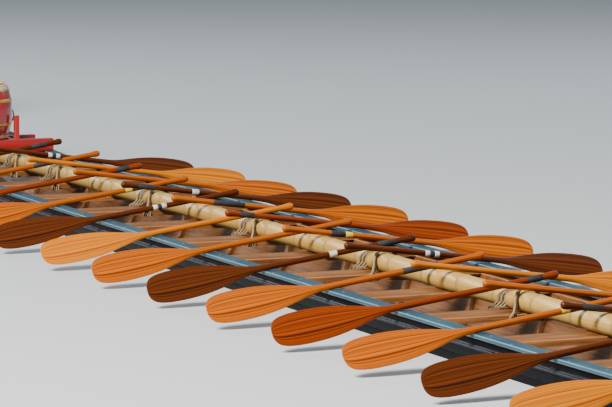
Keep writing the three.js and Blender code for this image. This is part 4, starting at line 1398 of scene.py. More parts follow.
def steps_along(line, step):
    """Points at even steps along a line in the XZ plane, each with the line's direction there."""
    corners = [Vector((x, 0, z)) for x, z in line]
    runs = [b - a for a, b in zip(corners, corners[1:])]
    meets = zip(runs[:1] + runs, runs + runs[-1:])
    ways = [(a.normalized() + b.normalized()).normalized() for a, b in meets]
    steps, reach, i = [], 0.0, 0
    while i < len(runs):
        share = reach / runs[i].length
        place = corners[i].lerp(corners[i + 1], share)
        steps.append((place, ways[i].lerp(ways[i + 1], share).normalized()))
        reach += step
        while i < len(runs) and reach > runs[i].length:
            reach -= runs[i].length
            i += 1
    return steps


def skin_at(tree, centre, out, thickest=0.2):
    """Where a ray from outside meets a limb's skin, and which way the skin faces there."""
    hit, normal, _, _ = tree.ray_cast(centre + RAY_START * out, -out)
    if hit is None or (hit - centre).length > thickest:
        return None
    return hit, normal.normalized()


def around(way, degrees):
    """A direction out of a limb. Zero is its back, and 180 its front."""
    back = way.cross(ACROSS).normalized()
    turn = math.radians(degrees)
    return math.cos(turn) * back + math.sin(turn) * ACROSS


# %% One scale, and laying many of them
SCALE_LAYERS = [
    # how far each layer rises, what is left of its outline, and its slide towards the tip, all as shares
    (0.45, 1.0, 0), (0.35, 0.8, -0.04), (0.2, 0.45, -0.06),
]
LIMB_RADIUS = 0.1  # about the neck's and the tail's, to choose how many scales go round


def carve_scale(length, width, thick):
    """A shield with its free tip towards +X: a flat underside and a domed top."""
    bpy.ops.mesh.primitive_circle_add(vertices=10, radius=1, fill_type="NGON")
    scale = bpy.context.object
    bpy.ops.object.mode_set(mode="EDIT")
    bpy.ops.mesh.select_all(action="SELECT")
    bpy.ops.transform.resize(value=(length / 2, width / 2, 1), center_override=(0, 0, 0))
    for rise, shrink, slide in SCALE_LAYERS:
        move = (slide * length, 0, rise * thick)
        bpy.ops.mesh.extrude_region_move(TRANSFORM_OT_translate={"value": move})
        bpy.ops.transform.resize(value=(shrink, shrink, 1), center_override=(0, 0, 0))
    bpy.ops.object.mode_set(mode="OBJECT")
    for vertex in scale.data.vertices:
        if vertex.co.x > 0:
            vertex.co.y *= 1 - 0.55 * (2 * vertex.co.x / length) ** 2
    return smooth(weld(scale))


def lay_scales(name, skin, line, step, reach, wide):
    """Rows of scales over a limb's back and sides, as far round as reach. Tips point down the limb."""
    tree = shell_of(skin)
    matrices = []
    for row, (centre, way) in enumerate(steps_along(line, step)):
        odd = row % 2
        count = round(2 * math.radians(reach) * LIMB_RADIUS / wide) + odd
        for k in range(count):
            degrees = reach * (2 * k / (count - 1) - 1) * (0.93 + 0.07 * odd)
            spot = skin_at(tree, centre, around(way, degrees))
            if spot:
                place, out = spot
                tip = (-way + out * out.dot(way)).normalized()
                matrices.append(facing(place + 0.001 * out, out - 0.16 * tip, tip))
    return scatter(name, carve_scale(1.45 * step, wide * 1.05, 0.010), matrices)


# %% Neck, head and tail
NECK_TOP, NECK_FORE = 1.34, 8.52  # below and behind these the neck is green, and the rest is gilt
TONGUE_SWELL = 0.004  # sanding leaves the tongue too thin by this much
SCALE_STEP = 0.042  # along a limb, from one row of scales to the next

head = seat_on_block(sanded_copy("dragon_head"))
finish_piece(head, "hull", [GILT, GREEN], ["dragon_head"])
for face in head.data.polygons:
    if face.center.z < NECK_TOP and face.center.x < NECK_FORE:
        face.material_index = 1
tail = seat_on_block(sanded_copy("dragon_tail"))
finish_piece(tail, "hull", [GREEN], ["dragon_tail"])
jaw = sanded_copy("dragon_jaw", 0.006, 6)
finish_piece(jaw, "hull", [GILT], ["dragon_jaw"])
tongue = sanded_copy("dragon_tongue", 0.0035, 8)
for vertex in tongue.data.vertices:
    vertex.co += TONGUE_SWELL * vertex.normal
finish_piece(tongue, "hull", [PINK], ["dragon_tongue"])
for side in SIDES:
    antler = sanded_copy(f"dragon_horn_{side}", 0.0045, 8)
    finish_piece(antler, "hull", [HORN], [f"dragon_horn_{side}"])

neck_scales = lay_scales("neck_scales", head, NECK_LINE[1:], SCALE_STEP, 122, 0.052)
finish_piece(neck_scales, "hull", [GILT])
tail_scales = lay_scales("tail_scales", tail, TAIL_LINE[1:], SCALE_STEP, 126, 0.050)
finish_piece(tail_scales, "hull", [GILT])


# %% Small scales over the crown and the cheeks
EYE = Vector((8.64, 0.092, 1.54))  # the middle of the port eye
EYE_CLEAR = 0.066  # no scale is nearer to an eye's middle than this
CROWN_FORE = 8.63  # where the foremost row is
CROWN_STEP = 0.031
CROWN_MIDDLE = 1.44  # the height that the rays are cast towards
CROWN_REACH = 112  # degrees down either side
CREST_HALF = 0.018  # bare on either side of the middle, where the crest stands
CROWN_FOOT = 1.365


def lay_crown_scales():
    """Rows across the skull, each cast in towards a line through it, with tips that point aft."""
    tree = shell_of(head)
    matrices = []
    for row in range(9):
        middle = Vector((CROWN_FORE - CROWN_STEP * row, 0, CROWN_MIDDLE))
        lean = 0.1 if row < 6 else -0.25
        count = 17 + row % 2
        for k in range(count):
            turn = math.radians(CROWN_REACH * (2 * k / (count - 1) - 1))
            ray = Vector((lean, math.sin(turn), math.cos(turn))).normalized()
            spot = skin_at(tree, middle, ray, 0.25)
            if not spot:
                continue
            place, out = spot
            eye = Vector((EYE.x, math.copysign(EYE.y, ray.y), EYE.z))
            off_eye = (place - eye).length >= EYE_CLEAR
            if off_eye and abs(place.y) > CREST_HALF and place.z > CROWN_FOOT:
                tip = Vector((-1, 0, -0.15))
                tip = (tip - out * out.dot(tip)).normalized()
                matrices.append(facing(place + 0.0005 * out, out - 0.14 * tip, tip))
    return scatter("crown_scales", carve_scale(0.044, 0.034, 0.007), matrices)


finish_piece(lay_crown_scales(), "hull", [GILT])

# %% [markdown]
# ## Belly plates
# Down the front of the neck, and under the tail, broad plates take the place of scales. Each is a
# grid whose points are put on the skin with the same rays, swollen in the middle, and then given a
# thickness.

# %% Belly plates
IVORY = paint_finish(
    "ivory_paint", (0.74, 0.67, 0.50), (0.40, 0.28, 0.15), 0.35, 0.35, coat=0.3, width=0.003
)
SPANS = 6  # of a plate's grid, from its middle to either side
PLATE_LIFT = 0.002  # how far a plate's edge stands off the skin
PLATE_SWELL = 0.008  # and how much more its middle does


def belly_plate(tree, centre, way, height, reach):
    """One plate that wraps the front of a limb, as far round as reach."""
    turns = [180 + reach * k / SPANS for k in range(-SPANS, SPANS + 1)]
    spots = [skin_at(tree, centre, around(way, turn)) for turn in turns]
    if None in spots:
        return None
    bpy.ops.mesh.primitive_grid_add(x_subdivisions=2 * SPANS, y_subdivisions=2, size=2)
    plate = bpy.context.object
    for vertex in plate.data.vertices:
        across, up = vertex.co.x, vertex.co.y
        skin, normal = spots[round((across + 1) * SPANS)]
        middle_row = 1 if abs(up) < 0.5 else 0.3
        lift = PLATE_LIFT + PLATE_SWELL * (1 - across**4) * middle_row
        narrowed = 1 - 0.35 * abs(across) ** 3
        vertex.co = skin + normal * lift + way * (up * height / 2 * narrowed)
    modify(plate, "SOLIDIFY", thickness=0.008, offset=-1)
    weld(plate)
    return smooth(modify(plate, "SUBSURF", levels=1, render_levels=1), 50)


def lay_belly(name, skin, line, step):
    """All the plates along one limb, joined."""
    tree = shell_of(skin)
    plates = [belly_plate(tree, centre, way, 0.94 * step, 50) for centre, way in steps_along(line, step)]
    plates = [plate for plate in plates if plate]
    print(f"{name}: {len(plates)} plates")
    return together(name, plates)


finish_piece(lay_belly("neck_belly_plates", head, NECK_LINE[1:], 0.05), "hull", [IVORY])
finish_piece(lay_belly("tail_belly_plates", tail, TAIL_LINE[1:], 0.05), "hull", [IVORY])

# %% [markdown]
# ## Flames
# The row of flames on the neck and tail is packed as a flat board with straight-sided points. A
# carver saws the same flames with curved backs and hooked tips, thins the board to an edge all
# round, and cuts grooves that follow the outline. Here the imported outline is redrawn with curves
# between its corners, filled as a flat curve, and remeshed fine. Each point is then moved in or out
# by how far it is from the outline. That distance is kept as the piece's own UV map, so that the
# lacquer can be gilt along the edge.

# %% Red lacquer with a gilt edge
def flame_finish():
    """Gilt as far as half a centimetre in from the outline. U is that distance in centimetres."""
    made, tree, shader, places, _ = start_finish("flame_lacquer", use_uv=True)
    depth = node(tree, "ShaderNodeSeparateXYZ", Vector=places).outputs["X"]
    inside = ranged(tree, depth, 0.45, 0.65)
    red = mixed(tree, ranged(tree, depth, 0.6, 4.0), (0.46, 0.030, 0.010), (0.22, 0.005, 0.006))
    tree.links.new(mixed(tree, inside, (0.72, 0.40, 0.075), red), shader.inputs["Base Color"])
    tree.links.new(ranged(tree, inside, 0, 1, 0.65, 0.0), shader.inputs["Metallic"])
    tree.links.new(ranged(tree, inside, 0, 1, 0.32, 0.24), shader.inputs["Roughness"])
    return made


FLAMES = flame_finish()
print(f"{FLAMES.name}: {len(FLAMES.node_tree.nodes)} nodes")


# %% The board's outline, and curves between its corners
def outline_of(node_name):
    """The corners round the board's port face, in order, as points of (x, z)."""
    board = planed_copy(node_name, 0, name="board")
    seen = {}
    for side in board.data.polygons:
        if side.normal.y > 0.9:
            for edge in side.edge_keys:
                seen[edge] = seen.get(edge, 0) + 1
    beside = {}
    for (a, b), count in seen.items():
        if count == 1:
            beside.setdefault(a, []).append(b)
            beside.setdefault(b, []).append(a)
    places = {index: board.data.vertices[index].co.xz for index in beside}
    rings = []
    while beside:
        ring = [min(beside)]
        while ring[-1] in beside:
            onward = [other for other in beside.pop(ring[-1]) if other in beside]
            ring += onward[:1]
        rings.append([places[index].copy() for index in ring])
    bpy.data.objects.remove(board)
    print(f"{node_name}: {len(rings)} outline with {[len(ring) for ring in rings]} corners")
    return rings


def ends_of_run(ring, i, corner=math.radians(80), hook=0.55):
    """The directions in which a curve comes to a corner of a ring and leaves it."""
    here = ring[i]
    come = (here - ring[i - 1]).normalized()
    leave = (ring[(i + 1) % len(ring)] - here).normalized()
    if come.angle(leave) < corner:
        through = (come + leave).normalized()
        return through, through
    tip = (come - leave).normalized()
    return come.lerp(tip, hook).normalized(), leave.lerp(-tip, hook).normalized()


def curved(ring, parts=6):
    """The ring with a Bezier curve in place of each straight run, hooked at the sharp corners."""
    ways = [ends_of_run(ring, i) for i in range(len(ring))]
    drawn = []
    for i, (_, leave) in enumerate(ways):
        start, end = ring[i], ring[(i + 1) % len(ring)]
        come = ways[(i + 1) % len(ring)][0]
        reach = (end - start).length / 3
        drawn += interpolate_bezier(start, start + reach * leave, end - reach * come, end, parts + 1)[:-1]
    return drawn


# %% Sawing the board out
def sawn_board(name, rings, half_thick=0.014):
    """A flat curve through the rings, filled, thickened and stood upright."""
    curve = bpy.data.curves.new(name, "CURVE")
    curve.dimensions = "2D"
    curve.fill_mode = "BOTH"
    curve.extrude = half_thick
    for ring in rings:
        spline = curve.splines.new("POLY")
        spline.points.add(len(ring) - 1)
        for point, place in zip(spline.points, ring):
            point.co = (place.x, place.y, 0, 1)
        spline.use_cyclic_u = True
    board = meshed(name, curve)
    board.data.transform(Matrix.Rotation(math.pi / 2, 4, "X"))
    return weld(board)


def without_crumbs(piece):
    """Keeps the largest part of a piece and drops the crumbs that remeshing leaves at thin tips."""
    name = piece.name
    pick(piece)
    bpy.ops.object.mode_set(mode="EDIT")
    bpy.ops.mesh.select_all(action="SELECT")
    bpy.ops.mesh.separate(type="LOOSE")
    bpy.ops.object.mode_set(mode="OBJECT")
    parts = sorted(bpy.context.selected_objects, key=lambda part: len(part.data.polygons))
    for crumb in parts[:-1]:
        bpy.data.objects.remove(crumb)
    parts[-1].name = name
    return pick(parts[-1])


# %% Thinning and grooving the flames
def ribbon_of(rings, half_width=0.03):
    """The outline as a ribbon across the board, ready to be searched for its nearest point."""
    corners, strips = [], []
    for ring in rings:
        first, count = len(corners), len(ring)
        corners += [(p.x, y, p.y) for p in ring for y in (-half_width, half_width)]
        for i in range(count):
            a, b = first + 2 * i, first + 2 * ((i + 1) % count)
            strips.append((a, a + 1, b + 1, b))
    return BVHTree.FromPolygons(corners, strips)


FLAME_EDGE = 0.004  # half of the board's thickness at its outline
FLAME_SWELL = 0.018  # and how much more that is from FULL_DEPTH inwards
FULL_DEPTH = 0.040
GROOVE = 0.0022  # how far the grooves go in from the even surface, and the ribs out
GROOVE_STEP = 0.013
GROOVE_START = 0.006  # they fade out nearer to the outline than this
ROUNDED = 0.011  # points nearer to the board's middle than this are on its rounded edge


def carve_flames(node_name, name):
    """The board thinned to its edges and grooved."""
    rings = [curved(ring) for ring in outline_of(node_name)]
    ribbon = ribbon_of(rings)
    flames = sawn_board(name, rings)
    flames = without_crumbs(modify(flames, "REMESH", mode="VOXEL", voxel_size=0.0045, adaptivity=0))
    modify(flames, "SMOOTH", factor=0.5, iterations=3)
    depths = [ribbon.find_nearest((v.co.x, 0, v.co.z))[3] for v in flames.data.vertices]
    for vertex, depth in zip(flames.data.vertices, depths):
        swell = FLAME_EDGE + FLAME_SWELL * min(1, depth / FULL_DEPTH) ** 0.8
        groove = GROOVE * math.cos(math.tau * depth / GROOVE_STEP) * min(1, depth / GROOVE_START)
        share = min(1, abs(vertex.co.y) / ROUNDED)
        vertex.co.y = math.copysign(share * (swell + groove), vertex.co.y)
    chart = flames.data.uv_layers.new(name="depth")
    for corner in flames.data.loops:
        chart.data[corner.index].uv = (100 * depths[corner.vertex_index], 0)
    return all_smooth(flames)


crest = carve_flames("dragon_mane", "mane_flames")
finish_piece(crest, "hull", [FLAMES], ["dragon_mane"])
fins = carve_flames("tail_fins", "tail_flames")
finish_piece(fins, "hull", [FLAMES], ["tail_fins"])

# %% [markdown]
# ## Locks and curls
# Hair on such a carving is cut as bundles of strands. A strand is a curve with a thickness at each
# point, turned into a mesh. A lock is three strands that start side by side and meet at the tip.

# %% One strand, and a lock of three
def strand(name, points, thickness):
    """A tapering round bar along a smooth curve through points."""
    curve = bpy.data.curves.new(name, "CURVE")
    curve.dimensions = "3D"
    curve.bevel_depth = 1
    curve.bevel_resolution = 2
    curve.resolution_u = 5
    curve.use_fill_caps = True
    spline = curve.splines.new("BEZIER")
    spline.bezier_points.add(len(points) - 1)
    for knot, place, radius in zip(spline.bezier_points, points, thickness):
        knot.co = place
        knot.radius = radius
        knot.handle_left_type = knot.handle_right_type = "AUTO"
    return all_smooth(weld(meshed(name, curve)))


def lock(points, thickness, spread):
    """Three strands, the outer ones thinner and a knot shorter. Spread is how far apart they start."""
    points = [Vector(p) for p in points]
    last = len(points) - 1
    strands = []
    for offset, knots, share in ((-1, last, 0.8), (0, last + 1, 1.0), (1, last, 0.8)):
        bent = [p + offset * spread * (1 - 0.85 * i / last) for i, p in enumerate(points)]
        sizes = [t * share for t in thickness]
        strands.append(strand("strand", bent[:knots], sizes[:knots]))
    return strands


def both_sides(maker):
    """The pieces that a maker gives for port, +1, and for starboard, -1."""
    return [piece for sign in (1, -1) for piece in maker(sign)]


# %% Locks beside the crest and round the tail's tip
MANE_KNOTS = [
    # metres out from the skin, up the neck, and to the side
    (-0.006, 0, 0), (0.038, -0.012, 0.012), (0.060, -0.062, 0.030), (0.052, -0.115, 0.036),
    (0.070, -0.150, 0.034),
]
TAIL_TIP = Vector((-8.455, 0, 1.678))


def mane_locks(sign):
    """Locks that rise beside the crest and sweep down the back of the neck."""
    tree = shell_of(head)
    made = []
    for centre, way in steps_along(NECK_LINE, 0.075)[1:]:
        spot = skin_at(tree, centre, around(way, 26 * sign))
        if spot:
            place, out = spot
            side = sign * ACROSS
            knots = [place + a * out + b * way + c * side for a, b, c in MANE_KNOTS]
            spread = 0.011 * (0.8 * way + 0.6 * side)
            made += lock(knots, [0.011, 0.0115, 0.010, 0.0065, 0.0012], spread)
    return made


finish_piece(together("mane_locks", both_sides(mane_locks)), "hull", [GREEN])


def tail_locks(sign):
    """Locks that burst forward from the tip of the tail."""
    made = []
    for size, lift in ((0.75, -0.045), (1.0, 0.0), (0.85, 0.045)):
        knots = [
            TAIL_TIP + Vector((-0.03, sign * 0.004, 0.3 * lift)),
            TAIL_TIP + size * Vector((0.035, sign * 0.020, 0.035 + 0.5 * lift)),
            TAIL_TIP + size * Vector((0.085, sign * 0.030, 0.040 + 1.3 * lift)),
            TAIL_TIP + size * Vector((0.150, sign * 0.026, 0.072 + 2.0 * lift)),
        ]
        made += lock(knots, [0.0085, 0.010, 0.008, 0.0012], Vector((0.002, 0.006, -0.007)))
    return made


finish_piece(together("tail_locks", both_sides(tail_locks)), "hull", [GREEN])


# %% Carved collars where neck and tail leave the end blocks
COLLAR_HALF = 0.026  # from the row of beads to either rope
BEADS = 22


def collar(name, skin, place, way):
    """Two ropes round the foot of a limb, over its scales, with a row of gilt beads between them."""
    tree = shell_of(skin)
    way = Vector(way).normalized()
    ropes, beads = [], []
    for rise in (-COLLAR_HALF, COLLAR_HALF):
        spots = [skin_at(tree, Vector(place) + rise * way, around(way, 6 * k)) for k in range(60)]
        ring = [spot[0] + 0.013 * spot[1] for spot in spots if spot]
        ropes.append(rope_run("ring", ring, 0.0125, sides=12))
    for k in range(BEADS):
        spot = skin_at(tree, Vector(place), around(way, 360 * k / BEADS))
        if spot:
            bpy.ops.mesh.primitive_uv_sphere_add(
                segments=14, ring_count=10, radius=0.0165, location=spot[0] + 0.011 * spot[1]
            )
            beads.append(smooth(flatten_place(bpy.context.object), SOFT))
    finish_piece(smooth(together(f"{name}_ropes", ropes), SOFT), "hull", [RED])
    finish_piece(together(f"{name}_beads", beads), "hull", [GILT])
    print(f"{name}: {len(beads)} beads")


collar("neck_collar", head, (8.190, 0, 0.825), (0.45, 0, 1))
collar("tail_collar", tail, (-8.207, 0, 0.835), (-0.55, 0, 1))

# %% [markdown]
# ## The dragon's face
# Eyes, brows, ears, lips, teeth, whiskers and beard give the head its look. Most are made once
# for port and once for starboard by a function that is given the side's sign.

# %% Eyes
PUPIL = paint_finish("pupil_black", (0.005, 0.005, 0.006), (0.02, 0.02, 0.02), 0.06, 0.1, coat=1.0)
PUPIL_EDGE, IRIS_EDGE = 24, 33  # degrees from the middle of the look


def build_eye(sign):
    """A ball with a gold ring and a black pupil. Returns the lids round it."""
    place = Vector((EYE.x, sign * EYE.y, EYE.z))
    look = Vector((0.62, sign * 0.72, 0.18)).normalized()
    bpy.ops.mesh.primitive_uv_sphere_add(segments=40, ring_count=24, radius=0.0475)
    ball = bpy.context.object
    ball.name = "eye_port" if sign > 0 else "eye_starboard"
    ball.data.transform(facing(place, look))
    finish_piece(all_smooth(ball), "hull", [IVORY, GILT, PUPIL])
    for face in ball.data.polygons:
        off = math.degrees((face.center - place).angle(look))
        if off < PUPIL_EDGE:
            face.material_index = 2
        elif off < IRIS_EDGE:
            face.material_index = 1
    bpy.ops.mesh.primitive_torus_add(
        major_radius=0.0445, minor_radius=0.0095, major_segments=36, minor_segments=12
    )
    lid = bpy.context.object
    lid.data.transform(facing(place + 0.014 * look, look))
    return smooth(lid, SOFT)


finish_piece(together("eyelids", [build_eye(sign) for sign in (1, -1)]), "hull", [RED])


# %% A flat lock, like a tongue of flame
LOCK_ROWS = 15


def flat_lock(knots, across, width, thick):
    """Follows a Bezier curve given by its four knots, full near its root and pointed at its tip."""
    last = LOCK_ROWS - 1
    path = interpolate_bezier(*[Vector(k) for k in knots], LOCK_ROWS)
    rows = []
    for k in range(LOCK_ROWS):
        share = k / last
        swell = (0.62 + 1.1 * share) * (1 - share**1.6) ** 1.1 + 0.03
        rows.append((k, width * swell, thick * swell))
    piece = drawn_out("flat_lock", rows, sides=12)
    for vertex in piece.data.vertices:
        k = round(vertex.co.x)
        way = (path[min(last, k + 1)] - path[max(0, k - 1)]).normalized()
        side = (across - way * across.dot(way)).normalized()
        rib = 1.5 if abs(vertex.co.y) < 0.1 * width else 1
        vertex.co = path[k] + vertex.co.y * side + rib * vertex.co.z * way.cross(side)
    return smooth(weld(piece, 1e-6), 55)


# %% Brows, and a fin behind each cheek
def brow(sign):
    """Four flat locks that sweep up and back over an eye, the outer ones longer."""
    made = []
    for k, size in enumerate((0.085, 0.120, 0.150, 0.145)):
        foot = Vector((8.712 - 0.040 * k, sign * (0.062 + 0.016 * k), 1.578 + 0.008 * min(k, 2)))
        knots = [
            foot,
            foot + size * Vector((-0.10, sign * 0.30, 0.75)),
            foot + size * Vector((-0.95, sign * 0.10, 0.30)),
            foot + size * Vector((-1.15, sign * 0.42, 1.05)),
        ]
        made.append(flat_lock(knots, Vector((0.7, 0, 0.7)), 0.026 - 0.002 * abs(k - 2), 0.011))
    return made


def cheek_fin(sign):
    """Five flat locks that fan out behind the corner of the jaw."""
    made = []
    for k, size in enumerate((0.12, 0.15, 0.165, 0.15, 0.12)):
        turn = math.radians(42 - 24 * k)
        out = Vector((-math.cos(turn), 0.45 * sign, math.sin(turn))).normalized()
        foot = Vector((8.440 - 0.004 * k, sign * (0.098 - 0.004 * abs(k - 2)), 1.452 - 0.024 * k))
        lift = Vector((0, 0, 0.28 * size))
        knots = [
            foot, foot + 0.35 * size * out + lift, foot + 0.75 * size * out - lift,
            foot + size * out + 0.4 * lift,
        ]
        made.append(flat_lock(knots, Vector((0.25, 0, 1)), 0.021, 0.009))
    return made


finish_piece(together("brows", both_sides(brow)), "hull", [GREEN])
finish_piece(together("cheek_fins", both_sides(cheek_fin)), "hull", [RED])


# %% Ears
EAR_ROWS = [
    # metres from the root, and half of the width and of the thickness there
    (0, 0.014, 0.012), (0.03, 0.034, 0.015), (0.075, 0.044, 0.013), (0.13, 0.032, 0.009),
    (0.19, 0.003, 0.002),
]
EAR_DISH = 0.016  # how deep it is dished
EAR_DISH_HALF = 0.034


def ear(sign):
    """A leaf-shaped ear, dished on the inside."""
    leaf = drawn_out("ear", EAR_ROWS, sides=14)
    for vertex in leaf.data.vertices:
        if vertex.co.z > 0 and 0.01 < vertex.co.x < 0.18:
            vertex.co.z -= EAR_DISH * (1 - min(1, abs(vertex.co.y) / EAR_DISH_HALF) ** 2)
    modify(leaf, "SUBSURF", levels=2, render_levels=2)
    root, front = (8.445, sign * 0.094, 1.486), (0.5, sign * 0.35, 0.6)
    leaf.data.transform(facing(root, front, (-0.50, sign * 0.66, 0.34)))
    return [smooth(leaf, SOFT)]


finish_piece(together("ears", both_sides(ear)), "hull", [GILT])


# %% Whiskers, and curls on the cheeks
WHISKER_RADII = [0.015, 0.014, 0.012, 0.0105, 0.009, 0.0075, 0.006, 0.0045, 0.0012]


def whisker(sign):
    """One long whisker from beside the nostril, swept back and outward."""
    points = [
        (8.965, sign * 0.070, 1.470), (8.950, sign * 0.105, 1.482), (8.900, sign * 0.150, 1.500),
        (8.825, sign * 0.195, 1.480), (8.760, sign * 0.225, 1.420), (8.690, sign * 0.245, 1.372),
        (8.610, sign * 0.262, 1.378), (8.565, sign * 0.270, 1.425), (8.585, sign * 0.272, 1.455),
    ]
    return [strand("whisker", points, WHISKER_RADII)]


finish_piece(together("whiskers", both_sides(whisker)), "hull", [RED])


def volute(centre, sign, size, turns, start, thick):
    """A spiral roll that lies on the cheek, thickest outside."""
    tree = shell_of(head)
    points, sizes = [], []
    count = 9 * turns
    for k in range(count + 1):
        share = k / count
        turn = start + math.tau * turns * share
        reach = size * (1 - share)
        x, z = centre[0] + reach * math.cos(turn), centre[1] + reach * math.sin(turn)
        hit = tree.ray_cast(Vector((x, sign * RAY_START, z)), Vector((0, -sign, 0)))[0]
        y = sign * 0.07 if hit is None or abs(hit.y) < 0.02 else hit.y
        points.append((x, y + sign * (0.004 + 0.008 * share), z))
        sizes.append(thick * (1 - 0.55 * share))
    return strand("volute", points, sizes)


def cheek_curls(sign):
    """Three rolls behind the corner of the mouth."""
    return [
        volute((8.530, 1.418), sign, 0.042, 2, math.radians(-60), 0.011),
        volute((8.462, 1.396), sign, 0.034, 2, math.radians(-70), 0.0095),
        volute((8.590, 1.452), sign, 0.026, 2, math.radians(-60), 0.008),
    ]


finish_piece(together("cheek_curls", both_sides(cheek_curls)), "hull", [RED])

# %% [markdown]
# ## Mouth and beard
# A row of teeth stands along both lips, with fangs in front. Their places come from rays that look
# straight up at the skull or down at the jaw.

# %% Teeth
head_tree, jaw_tree = shell_of(head), shell_of(jaw)


def upper_edge(x, y):
    """The skull's underside over a point."""
    return head_tree.ray_cast(Vector((x, y, 1.0)), Vector((0, 0, 1)))[0]


def jaw_top(x, y):
    """The jaw's upper side under a point."""
    hit = jaw_tree.ray_cast(Vector((x, y, 1.7)), Vector((0, 0, -1)))[0]
    return hit if hit and hit.z < 1.36 else None


def carve_tooth(length, radius):
    """A slightly hooked cone that points down."""
    shares = [(0, 1), (0.35, 0.86), (0.7, 0.52), (0.92, 0.2), (1, 0.04)]
    tooth = drawn_out("tooth", [(x * length, r * radius, r * radius) for x, r in shares], sides=8)
    for vertex in tooth.data.vertices:
        vertex.co.z += 0.25 * vertex.co.x**2 / length
    tooth.data.transform(Matrix.Rotation(math.pi / 2, 4, "Y"))
    return smooth(tooth, SOFT)


# Where the teeth stand, as (x, y), and which of them are fangs, by x
UPPER_TEETH = [
    (8.66, 0.074), (8.70, 0.072), (8.74, 0.070), (8.78, 0.067), (8.82, 0.064), (8.86, 0.062),
    (8.90, 0.062), (8.94, 0.064), (8.98, 0.062),
]
LOWER_TEETH = [
    (8.64, 0.064), (8.68, 0.062), (8.72, 0.060), (8.76, 0.057), (8.80, 0.053), (8.84, 0.049),
    (8.88, 0.044), (8.915, 0.038),
]
FANGS = {8.66, 8.94, 8.915}
FANG_SIZE = (0.062, 0.0135)  # length and radius
TOOTH_SIZE = (0.032, 0.0105)
TOOTH_SUNK = 0.005
teeth = []
for sign in (1, -1):
    for row, find, turn in ((UPPER_TEETH, upper_edge, 0), (LOWER_TEETH, jaw_top, math.pi)):
        for x, y in row:
            spot = find(x, sign * y)
            if spot:
                tooth = carve_tooth(*(FANG_SIZE if x in FANGS else TOOTH_SIZE))
                sunk = Vector((0, 0, TOOTH_SUNK if turn == 0 else -TOOTH_SUNK))
                tooth.data.transform(Matrix.Translation(spot + sunk) @ Matrix.Rotation(turn, 4, "X"))
                teeth.append(tooth)
print(f"{len(teeth)} teeth")
finish_piece(together("teeth", teeth), "hull", [IVORY])


# %% Lips
# The port half of each lip, from the mouth's corner forward
UPPER_LIP = [
    (8.60, 0.080), (8.68, 0.084), (8.76, 0.079), (8.84, 0.074), (8.92, 0.075), (8.99, 0.070),
    (9.018, 0.036),
]
LOWER_LIP = [
    (8.60, 0.074), (8.68, 0.072), (8.76, 0.066), (8.84, 0.058), (8.91, 0.046), (8.945, 0.020),
]


def lips():
    """A roll right round the upper mouth, and one round the jaw."""
    rolls = []
    for half, find in ((UPPER_LIP, upper_edge), (LOWER_LIP, jaw_top)):
        path = half + [(x, -y) for x, y in reversed(half)]
        points = [find(x, y) for x, y in path]
        points = [p for p in points if p]
        print(f"a lip through {len(points)} points")
        rolls.append(strand("lip", points, [0.007] + [0.0115] * (len(points) - 2) + [0.007]))
    return rolls


finish_piece(together("lips", lips()), "hull", [RED])


# %% Beard
def beard(sign):
    """Locks under the jaw on one side, longer towards the throat, with tips that curl forward."""
    made = []
    for k in range(6):
        foot = Vector((8.925 - 0.052 * k, sign * (0.020 + 0.007 * k), 1.250 - 0.002 * k))
        size = 0.115 + 0.022 * k
        knots = [
            foot + Vector((0, 0, 0.010)),
            foot + size * Vector((-0.18, sign * 0.10, -0.30)),
            foot + size * Vector((-0.52, sign * 0.18, -0.60)),
            foot + size * Vector((-0.70, sign * 0.22, -0.98)),
            foot + size * Vector((-0.55, sign * 0.24, -1.25)),
        ]
        spread = Vector((0.010, 0.003 * sign, 0))
        made += lock(knots, [0.0115, 0.0125, 0.011, 0.007, 0.001], spread)
    return made


finish_piece(together("beard", both_sides(beard)), "hull", [GREEN])


# %% A jewel on the brow, and studs down the snout
DOWNWARD = Vector((0, 0, -1))
OVER_HEAD = 1.9  # rays that look down at the head start at this height


def brow_jewel():
    """A red stone in a gold ring between the brows."""
    hit, normal, _, _ = head_tree.ray_cast(Vector((8.705, 0, OVER_HEAD)), DOWNWARD)
    bpy.ops.mesh.primitive_uv_sphere_add(segments=28, ring_count=16, radius=0.024)
    stone = bpy.context.object
    stone.data.transform(facing(hit, normal) @ Matrix.Diagonal((1, 1, 0.8, 1)))
    bpy.ops.mesh.primitive_torus_add(
        major_radius=0.026, minor_radius=0.007, major_segments=28, minor_segments=10
    )
    ring = bpy.context.object
    ring.data.transform(facing(hit + 0.004 * normal, normal))
    return smooth(stone, SOFT), smooth(ring, SOFT)


stone, ring = brow_jewel()
stone.name, ring.name = "brow_stone", "brow_stone_ring"
finish_piece(stone, "hull", [PINK])
finish_piece(ring, "hull", [GILT])

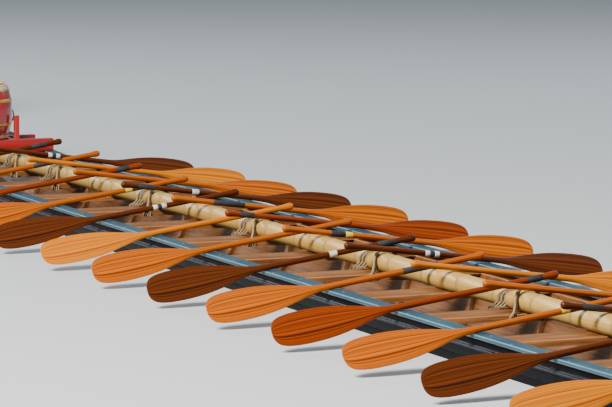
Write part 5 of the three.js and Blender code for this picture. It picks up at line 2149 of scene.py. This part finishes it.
studs = []
for k in range(7):
    x, y = 8.745 + 0.034 * k, 0.026 - 0.0016 * k
    for sign in (1, -1):
        hit, normal, _, _ = head_tree.ray_cast(Vector((x, sign * y, OVER_HEAD)), DOWNWARD)
        studs.append(facing(hit - 0.001 * normal, normal))
snout_studs = scatter("snout_studs", carve_nail(0.013, 0.011), studs)
finish_piece(snout_studs, "hull", [RED])


# %% Nostrils, and folds across the snout
def nostril(sign):
    """A flat black lens with a red rim, on the front of the nose's side. The lens is painted shade that
    stands for a hole.
    """
    look = Vector((0.72, sign * 0.62, 0.30)).normalized()
    start = Vector((9.008, sign * 0.056, 1.525)) + 0.2 * look
    hit, normal, _, _ = head_tree.ray_cast(start, -look)
    # Painted shade: a black lens, flattened onto the skin, stands for the dark inside of a nostril
    bpy.ops.mesh.primitive_uv_sphere_add(segments=20, ring_count=12, radius=0.0145)
    hole = bpy.context.object
    hole.name = "nostril_painted_shadow_port" if sign > 0 else "nostril_painted_shadow_starboard"
    hole.data.transform(facing(hit, normal) @ Matrix.Diagonal((1.25, 0.9, 0.16, 1)))
    finish_piece(smooth(hole, SOFT), "hull", [PUPIL])
    bpy.ops.mesh.primitive_torus_add(
        major_radius=0.0155, minor_radius=0.0048, major_segments=28, minor_segments=10
    )
    rim = bpy.context.object
    rim.data.transform(facing(hit + 0.001 * normal, normal) @ Matrix.Diagonal((1.25, 0.9, 1, 1)))
    return [smooth(rim, SOFT)]


def snout_fold(x, reach, thick):
    """A roll over the snout from one side to the other, bowed forward in the middle."""
    points = []
    for k in range(-8, 9):
        turn = math.radians(reach * k / 8)
        out = Vector((0, math.sin(turn), math.cos(turn)))
        centre = Vector((x + 0.012 * (1 - (k / 8) ** 2), 0, 1.47))
        hit, normal, _, _ = head_tree.ray_cast(centre + 0.3 * out, -out)
        points.append(hit - 0.001 * normal)
    sizes = [thick * math.cos(math.pi * k / 34) ** 0.5 for k in range(-7, 8)]
    return strand("fold", points, [0.001, *sizes, 0.001])


finish_piece(together("nostrils", both_sides(nostril)), "hull", [RED])
folds = [snout_fold(x, 82, thick) for x, thick in ((8.955, 0.008), (8.925, 0.0075), (8.725, 0.007))]
finish_piece(together("snout_folds", folds), "hull", [GILT])
